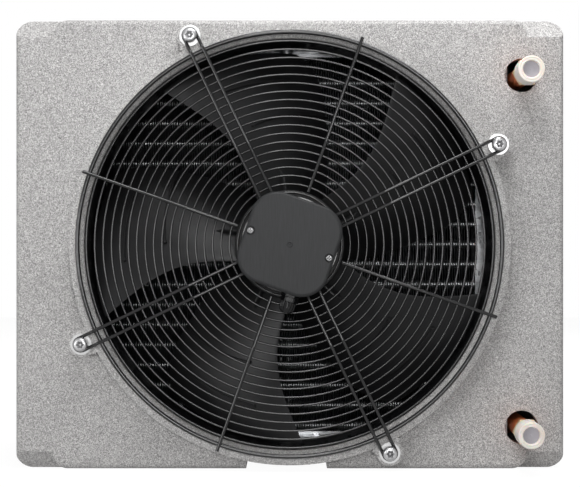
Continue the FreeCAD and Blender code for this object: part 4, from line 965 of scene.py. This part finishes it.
wire_paint = coated_wire()
blade_plastic = moulded(
    "blade_plastic", (0.009, 0.009, 0.0096), 0.34, grain_scale=520.0, grain_mm=0.03, dust=0.16,
    Specular_IOR_Level=0.22,
)
nozzle_plastic = moulded("nozzle_plastic", (0.004, 0.004, 0.0045), 0.2, dust=0.2, Specular_IOR_Level=0.15)
cover_plastic = brushed_cover()
box_plastic = moulded("box_plastic", (0.008, 0.008, 0.009), 0.42, dust=0.1, Specular_IOR_Level=0.2)
gland_plastic = moulded("gland_plastic", (0.004, 0.004, 0.0046), 0.18, dust=0.1, Specular_IOR_Level=0.2)
cap_plastic = milky_cap()
# Painted shade: the disc's darker blue-grey stands for the dark bore behind the thin polythene.
cap_disc_plastic = moulded(
    "cap_disc_plastic", (0.36, 0.345, 0.375), 0.4, dust=0.1, grain_mm=0.08, Specular_IOR_Level=0.3,
)
frame_plastic = moulded("frame_plastic", (0.42, 0.43, 0.44), 0.4, dust=0.04)
vane_plastic = moulded("vane_plastic", (0.5, 0.51, 0.52), 0.36, dust=0.04)
bush_plastic = moulded("bush_plastic", (0.66, 0.66, 0.63), 0.4)
seal_rubber = moulded("seal_rubber", (0.02, 0.02, 0.021), 0.68, grain_scale=1200.0, dust=0.15)
terminal_plastic = moulded("terminal_plastic", (0.62, 0.6, 0.54), 0.45)
capacitor_can = moulded("capacitor_can", (0.7, 0.7, 0.69), 0.34)
print("finishes:", len(bpy.data.materials))

# %% [markdown]
# ## The guard's pieces
# Now the rules make the real guard. The rings, the thick outer ring and the spokes are one
# welded thing, so they become one piece that rides on the casing.


# %% Make the guard
def double_spoke():
    """Out along one leg, round the bolt in a half circle, and back along the other leg."""
    leg = [
        (spoke_start, spoke_hub_depth), (sink_to, spoke_hub_depth), (sink_from, spoke_depth),
        (step_start, spoke_depth), (step_end, foot_depth), (bolt_circle, foot_depth),
    ]
    loop = []
    for step in range(1, loop_steps):
        turn = math.radians(90 - 180 * step / loop_steps)
        loop.append(Vector((
            (bolt_circle + half_loop * math.cos(turn)) * MM,
            at(foot_depth),
            fan_height + half_loop * MM * math.sin(turn),
        )))
    return spoke("double_spoke", bent_route(leg, half_loop) + loop + bent_route(leg[::-1], -half_loop))


def single_spoke():
    stations = [
        (single_spoke_start, spoke_depth_at(single_spoke_start)),
        (sink_from, spoke_depth),
        (single_spoke_end, spoke_depth),
    ]
    return spoke("single_spoke", bent_route(stations, 0.0))


guard_parts = [
    guard_rings("thin_rings", ring_count, first_ring, ring_step, ring_wire, 10),
    guard_rings("outer_wire", 1, outer_ring, 0.0, outer_ring_wire, 16),
    round_the_fan(double_spoke(), "double_spokes", 4, double_spoke_angle, wire_paint),
    round_the_fan(single_spoke(), "single_spokes", 4, single_spoke_angle, wire_paint),
]
print("guard parts:", [part.name for part in guard_parts])

# %% [markdown]
# ### Weld beads
# Where a ring crosses a spoke the two wires melt together, which leaves a small lump at each
# side of the contact. A squashed ball sits at every crossing. The crossings are points of a
# mesh, and Instance on Points puts the ball there.

# %% Copies at marked places
bead_size_mm = (2.1, 1.2, 2.1)


def make_place_rule():
    rule = Rule("copies at places", Item="Object")
    info = rule.add("GeometryNodeObjectInfo", {"Object": rule.given["Item"]}, transform_space="ORIGINAL")
    return rule.end(rule.copies(rule.given["Geometry"], info.outputs["Geometry"]))


place_rule = make_place_rule()


def weld_bead():
    shape = bmesh.new()
    bmesh.ops.create_uvsphere(shape, u_segments=8, v_segments=6, radius=1.0)
    bmesh.ops.scale(shape, verts=shape.verts, vec=Vector(bead_size_mm) * MM)
    return from_bmesh("weld_bead", shape)


def weld_places():
    """A place for every crossing of a ring and a spoke."""
    places = []
    for quarter in range(4):
        for index in range(ring_count):
            radius = first_ring + index * ring_step
            depth = spoke_depth_at(radius) + spoke_wire - weld_sink
            if radius > single_spoke_start:
                places.append(around(single_spoke_angle + 90 * quarter, radius, depth))
            spread = math.degrees(math.asin(half_loop / radius))
            for side in (-spread, spread):
                places.append(around(double_spoke_angle + 90 * quarter + side, radius, depth))
    return places


def weld_beads():
    """The bead copied to all the places; the first bead is used up."""
    bead = weld_bead()
    start = from_points("weld_places", weld_places())
    piece = place_rule.run("weld_beads", start, wire_paint, Item=bead)
    bpy.data.objects.remove(bead)
    return piece


guard = merged("wire_guard", [*guard_parts, weld_beads()])
smooth(guard.data, 60)
dress(guard, wire_paint, "casing", "guard_wire", "fan_guard")
print("guard triangles:", sum(len(p.vertices) - 2 for p in guard.data.polygons))

# %% [markdown]
# ## The impeller
# Five sickle blades stand on a hub that slips over the motor. From the rear a blade is a
# band between a leading and a trailing edge, and both edges are given by an angle at five
# radii. Between these the angle runs along a smooth curve, and along the chord the blade
# leans back and bulges a little. One blade is two grids of points with its thickness between
# them, and a round of copies makes five.

# %% Blade surface
hub_radius = 61.5
tip_radius = 225.0
blade_radii = (hub_radius - 1.5, 85.0, 120.0, 165.0, tip_radius)
leading_angles = (199.0, 193.2, 191.4, 195.0, 201.6)
trailing_angles = (127.0, 132.0, 140.0, 147.5, 160.0)
blade_start = 5.0
blade_depth = 70.0
camber = 7.0
edge_thickness = 1.2
middle_thickness = 2.6
blade_edge_round = 0.45
blade_rows = 44
blade_columns = 30
blade_count = 5


def curve_through(xs, ys, x):
    """A smooth curve through a few points: each Y counts fully at its own X, not at the others."""
    total = 0.0
    for i, (xi, yi) in enumerate(zip(xs, ys)):
        weight = 1.0
        for j, xj in enumerate(xs):
            if i != j:
                weight *= (x - xj) / (xi - xj)
        total += yi * weight
    return total


def edge_angles(radius):
    lead = curve_through(blade_radii, leading_angles, radius)
    trail = curve_through(blade_radii, trailing_angles, radius)
    return lead, trail


def blade_point(radius, share):
    """A point of the blade at a radius and a share of the way from leading to trailing edge."""
    lead, trail = edge_angles(radius)
    depth = blade_start + blade_depth * share - 4 * camber * share * (1 - share)
    return around(lead + (trail - lead) * share, radius, depth)


def blade_normal(radius, share):
    """Square to the blade, pointing to the rear."""
    step = 0.01
    along = blade_point(radius, share + step) - blade_point(radius, share - step)
    across = blade_point(radius + 1, share) - blade_point(radius - 1, share)
    normal = along.cross(across).normalized()
    return normal if normal.y < 0 else -normal


def on_blade(angle, radius):
    """The blade's point at an angle and a radius, and the way out of it."""
    lead, trail = edge_angles(radius)
    share = (angle - lead) / (trail - lead)
    return blade_point(radius, share), blade_normal(radius, share)


def blade_skin(shape, side):
    """A grid of points at half the blade's thickness to one side, thickest in mid-chord."""
    grid = []
    for row in range(blade_rows + 1):
        radius = blade_radii[0] + (tip_radius - blade_radii[0]) * row / blade_rows
        line = []
        for column in range(blade_columns + 1):
            share = column / blade_columns
            bulge = (middle_thickness - edge_thickness) * 4 * share * (1 - share)
            lift = side * (edge_thickness + bulge) / 2 * MM
            line.append(shape.verts.new(blade_point(radius, share) + blade_normal(radius, share) * lift))
        grid.append(line)
    return grid


def blade_sheet():
    shape = bmesh.new()
    plate_between(shape, blade_skin(shape, 1), blade_skin(shape, -1))
    piece = from_bmesh("blade_sheet", shape, 30)
    modified(
        piece, "BEVEL", width=blade_edge_round * MM, segments=2,
        limit_method="ANGLE", angle_limit=math.radians(50),
    )
    smooth(piece.data, 40)
    return piece


# %% [markdown]
# ### Fences and root ribs
# Two thin walls stand on each blade and follow the air's path, with a rounded bead at the
# leading end. They are swept as a small profile along the blade's own surface, so they keep
# their height above it until they fade out near the trailing end. A short rib stiffens the
# blade's root in the same way.

# %% Walls that stand on the blade
fence_half_width = 1.1
fence_height = 4.6
fence_fillet = ((1.9, 0.0), (1.0, 0.45), (0.3, 1.1))
fence_top_round = 0.7
fence_samples = 26
fade_samples = 4
fade_end = 0.35
bead_radius = 2.1
bead_round = 0.6
root_rib_angle = 170.0
root_rib_from = 60.5
root_rib_to = 86.0
root_rib_height = 7.0
root_rib_half_width = 1.0
root_rib_edge = 0.4
root_rib_slope = 9.0
root_rib_samples = 12


def wall_section(foot, up, side, flank):
    """The outline of a wall whose two sides have the same (across, rise) points."""
    section = [foot + (up * rise - side * across) * MM for across, rise in flank]
    return section + [foot + (up * rise + side * across) * MM for across, rise in flank[::-1]]


def fence(name, stations):
    """A wall with a filleted foot through (angle, radius) stations, and the bead at its start."""
    angles = [angle for angle, radius in stations]
    radii = [radius for angle, radius in stations]
    sweep = angles[-1] - angles[0]
    half = fence_half_width
    sections = []
    for sample in range(fence_samples + 1):
        angle = angles[0] + sweep * sample / fence_samples
        foot, up = on_blade(angle, curve_through(angles, radii, angle))
        beyond = angle + sweep / 100
        ahead = on_blade(beyond, curve_through(angles, radii, beyond))[0]
        side = up.cross(ahead - foot).normalized()
        fade = min(1.0, fade_end + (1 - fade_end) * (fence_samples - sample) / fade_samples)
        top = fence_height * fade
        flank = [(half + out, rise) for out, rise in fence_fillet]
        flank += [
            (half, 2.0 * fade), (half, max(top - fence_top_round, 2.1 * fade)),
            (half - fence_top_round, top),
        ]
        sections.append(wall_section(foot, up, side, flank))
    wall = bmesh.new()
    skin_through(wall, sections)
    foot, up = on_blade(angles[0], radii[0])
    bead = bmesh.new()
    lathe(bead, in_metres([
        (0.0, 0.0), (bead_radius, 0.0), (bead_radius, fence_height - bead_round),
        (bead_radius - bead_round, fence_height), (0.0, fence_height),
    ]), (0, 0, 0), 18, "Z")
    stand(bead, foot, up)
    return [from_bmesh(name, wall, 60), from_bmesh(name + "_bead", bead, 40)]


def root_rib():
    """A straight rib that slopes down towards its outer end."""
    half = root_rib_half_width
    sections = []
    for sample in range(root_rib_samples + 1):
        radius = root_rib_from + (root_rib_to - root_rib_from) * sample / root_rib_samples
        foot, up = on_blade(root_rib_angle, radius)
        side = (around(root_rib_angle + 1, radius) - around(root_rib_angle - 1, radius)).normalized()
        height = root_rib_height * min(1.0, (root_rib_to + 1.5 - radius) / root_rib_slope)
        flank = [(half, 0.0), (half, height - root_rib_edge), (half - root_rib_edge, height)]
        sections.append(wall_section(foot, up, side, flank))
    shape = bmesh.new()
    skin_through(shape, sections)
    return from_bmesh("root_rib", shape, 40)


def one_blade():
    pieces = [blade_sheet()]
    pieces += fence("outer_fence", ((185.6, 189.4), (173.6, 189.6), (161.6, 190.0)))
    pieces += fence("inner_fence", ((179.3, 142.3), (163.0, 149.0), (146.3, 156.0)))
    return merged("one_blade", [*pieces, root_rib()])


# %% The hub and the whole impeller
hub_wall = 3.4
hub_start = -1.0
hub_end = 76.0
web_rear = 67.1
web_front = 70.1
web_bore = 20.0


def hub_body():
    """The hub's sleeve with a rounded rear lip, and the web that the screws go through."""
    inner = hub_radius - hub_wall
    corners = [
        (hub_radius, hub_start), (hub_radius, hub_end), (inner, hub_end), (inner, web_front),
        (web_bore, web_front), (web_bore, web_rear), (inner, web_rear), (inner, hub_start),
    ]
    profile = rounded_profile(corners, (1.2, 1.0, 0.6, 1.5, 0.5, 0.5, 0.0, 1.0))
    return closed_lathe("hub_body", in_metres(profile, rear_plate), steps=128)


blades = round_the_fan(one_blade(), "blades", blade_count, 0.0, blade_plastic)
impeller = merged("impeller_blades", [blades, hub_body()])
smooth(impeller.data, 38)
dress(impeller, blade_plastic, "fan", "impeller_plastic", "impeller")
print("impeller triangles:", sum(len(p.vertices) - 2 for p in impeller.data.polygons))

# %% [markdown]
# ## The inlet nozzle
# A turned plastic ring guides the air to the blade tips. Its mouth is a rounded lip that the
# foam ring covers, and low ribs stand on the throat. A profile turned about the fan axis makes
# the ring, and one rib copied round the fan makes the rest.

# %% Turn the nozzle
throat_radius = 228.0
nozzle_back_radius = 231.0
nozzle_start = -8.0
nozzle_end = 60.0
rib_count = 53
rib_height = 0.9
rib_root = -0.4
throat_rib_half_width = 2.0


def nozzle_body():
    corners = [
        (nozzle_back_radius, nozzle_start), (nozzle_back_radius, nozzle_end),
        (throat_radius + 1, nozzle_end), (throat_radius, nozzle_end - 3),
        (throat_radius, nozzle_start + 6), (throat_radius + 1, nozzle_start + 1),
    ]
    profile = rounded_profile(corners, (0.5, 0.5, 0.4, 4.0, 6.0, 1.2), steps=6)
    return closed_lathe("nozzle_body", in_metres(profile, rear_plate), steps=240)


def throat_rib():
    """A low rib with sloping ends, laid along the throat at the right of the fan."""
    half = throat_rib_half_width
    sections = []
    for depth, height in ((4.0, rib_root), (7.0, rib_height), (26.0, rib_height), (30.0, rib_root)):
        inner = throat_radius - height
        outer = throat_radius + 1.0
        corners = ((inner, -half), (inner, half), (outer, half), (outer, -half))
        sections.append([Vector((x * MM, at(depth), fan_height + z * MM)) for x, z in corners])
    shape = bmesh.new()
    skin_through(shape, sections)
    return from_bmesh("throat_rib", shape, 30)


ribs = round_the_fan(throat_rib(), "throat_ribs", rib_count, 2.0, nozzle_plastic)
nozzle = merged("inlet_nozzle", [nozzle_body(), ribs])
smooth(nozzle.data, 35)
dress(nozzle, nozzle_plastic, "casing", "nozzle_plastic", "nozzle_ring")

# %% [markdown]
# ## The casing
# The casing is two shells of foamed plastic. Their shape comes from the CAD model, and what it
# lacks is the soft edge that every foam moulding has. So each shell is a merged copy with a
# bevel on its sharp edges, which gives the lit rims round the ears, the ring and the holes.

# %% Round the casing's edges
for side in ("rear", "front"):
    dress_copy(side + "_shell", side + "_casing", 1.3, foam, "foam", segments=3, angle=32.0)

# %% [markdown]
# ## Screws
# Every screw here has a domed head with a recess for the driver. The CAD screws are plain, so
# each is measured from its own points: where the head ends, how wide it is and how long the
# shank is. A new screw of just that size takes its place, with a lobed recess and a thread.


# %% Measure the CAD screws
def solids_of(node):
    """The points of each separate solid in a CAD node."""
    shape = shape_of(node)
    seen = set()
    found = []
    for start in shape.verts:
        if start in seen:
            continue
        seen.add(start)
        pile = [start]
        points = []
        while pile:
            vert = pile.pop()
            points.append(vert.co.copy())
            for edge in vert.link_edges:
                other = edge.other_vert(vert)
                if other not in seen:
                    seen.add(other)
                    pile.append(other)
        found.append(points)
    shape.free()
    return found


def box_of(points):
    low = Vector(min(point[k] for point in points) for k in range(3))
    high = Vector(max(point[k] for point in points) for k in range(3))
    return low, high


def screw_sizes(points, out):
    """Seat, head radius, head height, shank radius and length of a screw whose head points out."""
    low, high = box_of(points)
    middle = (low + high) / 2
    along = [(point - middle).dot(out) for point in points]
    across = [(point - middle - t * out).length for point, t in zip(points, along)]
    head_radius = max(across)
    seat = min(t for t, r in zip(along, across) if r > head_radius - 0.05 * MM)
    shank = max(r for t, r in zip(along, across) if t < seat - 0.1 * MM)
    return {
        "seat": middle + seat * out, "out": out, "head_radius": head_radius,
        "head_height": max(along) - seat, "shank_radius": shank, "length": seat - min(along),
    }


# %% Make a screw of a given size
# The head's outline and its recess are shares of its radius and height. A recess of six lobes
# is a shallow star, and one of four lobes is a deep cross.
head_outline = ((1.0, 0.0), (1.0, 0.35), (0.97, 0.6), (0.87, 0.83), (0.72, 0.96), (0.6, 1.0))
recess_share = 0.46
recess_shoulder = 0.76
recess_floor = 0.2
star_swing = 0.16
cross_swing = 0.5
screw_pitch = 1.25 * MM
fewest_threads = 3
most_threads = 14


def screw(sizes, lobes):
    """A domed head with a lobed recess over a threaded shank."""
    head = sizes["head_radius"]
    height = sizes["head_height"]
    shank = sizes["shank_radius"]
    swing = star_swing if lobes > 4 else cross_swing

    def lobed(middle, share=1.0):
        return lambda turn: head * recess_share * (middle + share * swing * math.cos(lobes * turn))

    outline = [(circle(head * wide), height * level) for wide, level in head_outline]
    outline += [
        (lobed(1.06), height), (lobed(0.9), height * recess_shoulder),
        (lobed(0.3, 0.2), height * recess_floor),
    ]
    shape = bmesh.new()
    rows = round_rows(shape, outline, 48, lambda across, up, along: (across, up, along))
    join_rows(shape, rows)
    shape.faces.new(rows[-1])
    threads = max(fewest_threads, min(most_threads, int(sizes["length"] / screw_pitch)))
    pitch = sizes["length"] / threads
    groove = min(0.12 * shank, 0.45 * pitch)
    profile = [(head, 0.0), (shank, 0.0)]
    for thread in range(threads):
        profile += [(shank - groove, -pitch * (thread + 0.5)), (shank, -pitch * (thread + 1))]
    profile.append((0.0, -sizes["length"]))
    lathe(shape, profile, (0, 0, 0), 24, "Z")
    bmesh.ops.remove_doubles(shape, verts=shape.verts, dist=CLOSE)
    stand(shape, sizes["seat"], sizes["out"])
    return from_bmesh("screw", shape, 32)


def body_of(node):
    return next(name for name, body in frame["record"]["behaviour"]["bodies"].items() if node in body)


def screws_like(node, name, out=None, material=zinc, lobes=6):
    """New screws in place of every screw of a CAD node. With no way out given, heads face sideways."""
    made = []
    for points in solids_of(node):
        sideways = Vector((math.copysign(1, points[0].x), 0, 0))
        made.append(screw(screw_sizes(points, sideways if out is None else out), lobes))
    print(name, len(made), "screws")
    piece = merged(name, made)
    smooth(piece.data, 32)
    dress(piece, material, body_of(node), "zinc_steel", node)


to_rear = Vector((0, -1, 0))
to_front = Vector((0, 1, 0))
screws_like("guard_bolts", "ear_bolts", to_rear)
# These heads take the darker zinc copy, which is painted shade.
screws_like("terminal_screws", "cover_screws", to_rear, shaded_zinc, lobes=4)
screws_like("frame_screws", "outlet_screws", to_front)
screws_like("clip_screws", "side_screws")
screws_like("impeller_screws", "hub_screws", to_front)
screws_like("motor_screws", "flange_screws", to_rear)

# %% [markdown]
# ## Washers and sheet metal
# The washers, the side clips and the coil's plates are stamped from zinc-coated sheet, and the
# hub plate under the terminal box is coated steel. All keep their CAD shape with softer edges.

# %% Washers, plates and clips
dress_copy("guard_washers", "ear_washers", 0.3, washer_zinc, "zinc_steel")
dress_copy("guard_hub_plate", "hub_plate", 0.4, wire_paint, "guard_wire")
dress_copy("shell_clips", "side_clips", 0.3, galvanised, "galvanised")
for plate in ("coil_end_plate_left", "coil_end_plate_right", "coil_flange_bottom", "coil_flange_top"):
    dress_copy(plate, plate + "_sheet", 0.3, galvanised, "galvanised")

# %% [markdown]
# ## Motor cover, box and gland
# The terminal box sits on the motor flange, and its cover is the dark square in the middle of
# the guard. The cover has a small round gate mark in its centre, left by the mould. The gland's
# nut is ribbed, because it is turned by hand before the last pull of a spanner.


# %% Cover and terminal box
def gate_mark():
    """The little disc that the mould's gate leaves, with a dimple."""
    profile = [
        (0.0, -0.3), (0.7, -0.2), (1.2, -0.01), (1.9, -0.01), (2.3, -0.45), (2.9, -0.45),
        (3.4, 0.1), (0.0, 0.1),
    ]
    cover_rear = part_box("terminal_cover")[0].y
    return closed_lathe("gate_mark", in_metres(profile, cover_rear), steps=32, smooth_angle=40)


cover = merged("motor_cover", [softened("terminal_cover", "cover_body", 0.35, angle=30.0), gate_mark()])
even(cover, 30)
dress(cover, cover_plastic, "casing", "cover_plastic", "terminal_cover")
dress_copy("terminal_box", "wiring_box", 0.4, box_plastic, "box_plastic", angle=35.0)
dress_copy("gland_body", "gland_base", 0.3, gland_plastic, "box_plastic")

# %% The gland's ribbed nut
# The nut is made as if the gland pointed straight down, and then turned about the fan axis.
gland_offset = 19.0
gland_depth = -33.5
nut_start = 55.0
nut_length = 18.0
knurl_count = 16
knurl_height = 0.45


def gland_cap():
    """A hexagon foot, then a ribbed barrel that closes in a dome round the cable's mouth."""
    low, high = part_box("gland_nut")
    middle = (low + high) / 2 - Vector(fan_centre)
    unturned = math.atan2(-(nut_start + nut_length / 2), gland_offset)
    turn = math.atan2(middle.z, middle.x) - unturned

    def foot(corner):
        return hexagon(corner, corner * 0.97)

    def ribbed(radius):
        return lambda angle: radius + knurl_height * max(-0.6, math.cos(knurl_count * angle))

    def place(across, up, along):
        return (gland_offset + across) * MM, at(gland_depth + up), -(nut_start + along) * MM

    outline = [
        (circle(6.6), 0.0), (foot(9.8), 0.0), (foot(10.39), 0.5), (foot(10.39), 5.0),
        (circle(8.4), 5.6), (ribbed(8.5), 6.2), (ribbed(8.5), 11.5), (ribbed(8.0), 13.8),
        (ribbed(7.0), 15.6), (circle(5.9), 17.2), (circle(5.3), 17.9), (circle(4.6), 17.9),
        (circle(4.2), 17.4), (circle(4.2), 15.0), (circle(6.6), 15.0),
    ]
    shape = bmesh.new()
    rows = round_rows(shape, outline, 96, place)
    join_rows(shape, rows + rows[:1])
    move = Matrix.Translation(fan_centre) @ Matrix.Rotation(-turn, 4, "Y")
    bmesh.ops.transform(shape, matrix=move, verts=shape.verts)
    return from_bmesh("gland_cap", shape, 30)


dress(gland_cap(), gland_plastic, "casing", "box_plastic", "gland_nut")
dress_copy("rotor_bell", "motor_bell", 0.8, box_plastic, "rotor_steel", body="fan")
dress_copy("motor_flange", "motor_mount", 0.5, cast_metal, "cast_aluminium")

# %% [markdown]
# ## Water connections
# A copper stub comes out of each hole and ends in a brass adapter: a hexagon for the spanner
# and a pipe thread that a push-on cap covers. The thread shows when the cap is pulled off, so
# it is a real helix: a grid of points round the pipe whose radius falls and rises with the
# pitch while it climbs.

# %% Brass adapters
socket_radius = 11.05
hexagon_corner = 27.0 / math.sqrt(3)
hexagon_front = -28.0
hexagon_rear = -36.0
chamfer_radius = 14.3
chamfered_radius = 15.45
chamfer = 0.9
thread_end = -61.0
thread_radius = 13.2
thread_pitch = 25.4 / 14
thread_depth = 1.1
thread_gap = 1.2
run_out = 1.5
bore_radius = 9.5


def thread_at(depth):
    """The thread's outline at a depth; it fades in and out over the run-outs at both ends."""
    def radius_at(turn):
        phase = (-depth / thread_pitch - turn / (2 * math.pi)) % 1.0
        room = min(hexagon_rear - thread_gap - depth, depth - thread_end)
        ramp = min(room / run_out, 1.0)
        cut = min(1.0, max(0.0, 3 * abs(phase - 0.5) - 0.25))
        return thread_radius - thread_depth * (1 - max(ramp, 0.0) * cut)
    return radius_at


def adapter(name, centre):
    root = thread_radius - thread_depth
    narrow = hexagon(hexagon_corner, chamfer_radius)
    wide = hexagon(hexagon_corner, chamfered_radius)
    outline = [
        (circle(socket_radius), hexagon_front), (narrow, hexagon_front),
        (wide, hexagon_front - chamfer), (wide, hexagon_rear + chamfer), (narrow, hexagon_rear),
        (circle(root), hexagon_rear),
    ]
    depth = hexagon_rear - 0.6
    while depth > thread_end + 0.5:
        outline.append((thread_at(depth), depth))
        depth -= thread_pitch / 7
    outline += [
        (circle(root - 0.3), thread_end), (circle(bore_radius + 0.4), thread_end),
        (circle(bore_radius), thread_end + 0.4), (circle(bore_radius), hexagon_rear + 1.0),
        (circle(socket_radius), hexagon_rear + 1.0),
    ]

    def place(across, up, along):
        return centre.x + across * MM, at(along), centre.z + up * MM

    shape = bmesh.new()
    rows = round_rows(shape, outline, 72, place)
    join_rows(shape, rows + rows[:1])
    return from_bmesh(name, shape, 28)


for level in ("lower", "upper"):
    low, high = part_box("fitting_" + level)
    dress(adapter("adapter_" + level, (low + high) / 2), brass, "casing", "brass", "fitting_" + level)

# %% [markdown]
# ### Caps
# A cap is a soft milky moulding: a thin skirt, a rim with two fine steps, and a disc set back
# inside the rim. The disc is thinner and looks blue-grey over the dark bore, so its finish is
# painted shade: a darker blue-grey colour. It is its own piece with its own finish, and both
# ride on the cap's body.

# %% Protective caps
cap_outer = 14.7
cap_inner = 13.3
cap_length = 25.5
disc_radius = 9.5
disc_level = 5.0
disc_thickness = 1.0
rim_profile = [
    (disc_radius - 0.2, disc_level + 0.2), (disc_radius - 0.5, 1.4), (disc_radius - 0.1, 0.5),
    (disc_radius + 0.5, 0.0), (cap_outer - 3.2, 0.0), (cap_outer - 2.9, 0.35), (cap_outer - 2.3, 0.4),
    (cap_outer - 2.0, 0.05), (cap_outer - 1.1, 0.0), (cap_outer - 0.5, 0.25), (cap_outer - 0.1, 0.9),
    (cap_outer, 2.0), (cap_outer - 0.05, 16.0), (cap_outer, 24.0), (cap_outer, cap_length - 0.3),
    (cap_outer - 0.3, cap_length), (cap_inner + 0.3, cap_length), (cap_inner, cap_length - 0.4),
    (cap_inner, 1.3), (disc_radius + 0.4, 1.0), (disc_radius + 0.3, disc_level + disc_thickness),
    (disc_radius - 0.3, disc_level + disc_thickness),
]
disc_profile = [
    (0.0, 4.75), (0.5, 4.7), (0.9, 4.8), (1.1, disc_level), (4.2, disc_level), (4.4, 4.9),
    (4.7, 4.9), (4.9, disc_level), (disc_radius - 0.3, disc_level),
    (disc_radius - 0.3, disc_level + disc_thickness), (0.0, disc_level + disc_thickness),
]
for level in ("lower", "upper"):
    cap = "cap_" + level
    low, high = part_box(cap)
    where = ((low.x + high.x) / 2, 0.0, (low.z + high.z) / 2)
    rim = closed_lathe("cap_rim_" + level, in_metres(rim_profile, low.y), where, smooth_angle=30)
    dress(rim, cap_plastic, cap, "cap_plastic", cap)
    disc = closed_lathe("cap_disc_" + level, in_metres(disc_profile, low.y), where, smooth_angle=20)
    dress(disc, cap_disc_plastic, cap, "cap_plastic")

# %% [markdown]
# ## The coil
# Behind the fan the air passes between many thin aluminium fins on rows of tubes. Each fin is
# pressed into waves, and the collars at its holes cover the copper, so what shows between the
# fins is the collars' metal. The fins are one wavy plate copied along a line, and each copy
# leans a little, as handled fins do.

# %% Fins by a rule
fin_count = 162
first_fin = 1.6
wave_count = 2
wave_height = 1.4
fin_thickness = 0.16
fin_lean = 0.0006
coil_low, coil_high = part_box("coil_fins")


def fin_skin(shape, side):
    """The points of one skin of a fin, at half its thickness to one side."""
    steps = wave_count * 8
    lines = []
    for step in range(steps + 1):
        y = coil_low.y + (coil_high.y - coil_low.y) * step / steps
        wave = wave_height * math.sin(2 * math.pi * wave_count * step / steps)
        x = (wave + side * fin_thickness / 2) * MM
        lines.append([shape.verts.new((x, y, z)) for z in (coil_low.z, coil_high.z)])
    return lines


def wavy_fin():
    """One fin, still at X = 0, pressed into upright waves across its depth."""
    shape = bmesh.new()
    plate_between(shape, fin_skin(shape, -1), fin_skin(shape, 1))
    return from_bmesh("wavy_fin", shape, 40)


def make_fin_rule():
    rule = Rule("fins along the tubes", Count="Int", Start="Float", Pitch="Float", Lean="Float")
    given = rule.given
    places = rule.add("GeometryNodeMeshLine", {
        "Count": given["Count"],
        "Start Location": rule.vector(X=given["Start"]),
        "Offset": rule.vector(X=given["Pitch"]),
    })
    lean = rule.add("FunctionNodeRandomValue", {"Seed": 7}, data_type="FLOAT")
    rule.put(lean.inputs[2], rule.math("MULTIPLY", given["Lean"], -1.0))
    rule.put(lean.inputs[3], given["Lean"])
    spin = rule.vector(Y=lean.outputs[1])
    return rule.end(rule.copies(places.outputs[0], given["Geometry"], Rotation=spin))


# The fins' near-black colour is painted shade for the depth of the coil.
fins = make_fin_rule().run(
    "coil_fin_stack", wavy_fin(), shaded_fin_metal,
    Count=fin_count, Start=coil_low.x + first_fin * MM, Pitch=fin_pitch * MM, Lean=fin_lean,
)
smooth(fins.data, 40)
dress(fins, shaded_fin_metal, "casing", "fin_aluminium", "coil_fins")

# %% Collars on the tubes
collar_plate_gap = 0.1
collar_rise = 0.35
collar_thickness = 0.34


def tube_collars():
    """A thin sleeve round each tube, where the fins' collars stand end to end."""
    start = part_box("coil_end_plate_left")[1].x + collar_plate_gap * MM
    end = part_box("coil_end_plate_right")[0].x - collar_plate_gap * MM
    made = []
    for points in solids_of("coil_tubes"):
        low, high = box_of(points)
        centre = (0.0, (low.y + high.y) / 2, (low.z + high.z) / 2)
        outer = (high.z - low.z) / 2 + collar_rise * MM
        inner = outer - collar_thickness * MM
        profile = [(outer, start), (outer, end), (inner, end), (inner, start)]
        made.append(closed_lathe("collar", profile, centre, 28, "X"))
    piece = merged("tube_collars", made)
    smooth(piece.data, 40)
    return piece


dress(tube_collars(), collar_metal, "casing", "fin_aluminium")

# %% [markdown]
# ## The outlet
# The front is a plastic frame with six vanes. A warm-air outlet is looked at from the front and
# from the side, so its mouldings get softer edges too. Each vane rides on its own body.

# %% Frame and vanes
dress_copy("outlet_frame", "outlet_surround", 0.6, frame_plastic, "outlet_plastic", angle=35.0)
for number in range(1, 7):
    vane = "vane_%d" % number
    dress_copy(vane, "air_" + vane, 0.35, vane_plastic, "vane_plastic", body=vane, angle=35.0)

# %% [markdown]
# ## Finishes on the pieces that keep their CAD shape
# Some pieces are already right as they are, or sit where only their colour is seen. They keep
# their mesh and get a finish. The pieces that were replaced above aren't in this list.

# %% Give each remaining piece its finish
finishes = {
    bush_plastic: ("vane_bushes",),
    terminal_plastic: ("terminal_block",),
    capacitor_can: ("run_capacitor",),
    galvanised: ("hanger_plates",),
    zinc: ("hanger_screws", "coil_screws", "neck_screws"),
    copper: (
        "coil_tubes", "coil_bends", "header_supply", "header_return", "header_feeders",
        "stub_lower", "stub_upper",
    ),
    brass: ("guard_inserts",),
    core_metal: ("stator_core", "rotor_core"),
    winding: ("stator_windings",),
    steel: ("bearing_rear", "bearing_front", "motor_shaft"),
    gland_plastic: ("gland_locknut",),
    seal_rubber: ("terminal_gasket", "gland_seal"),
}
for material, names in finishes.items():
    for node_name in names:
        for slot_of_node in frame["nodes"][node_name].material_slots:
            slot_of_node.material = material
print("kept nodes:", sum(len(names) for names in finishes.values()))
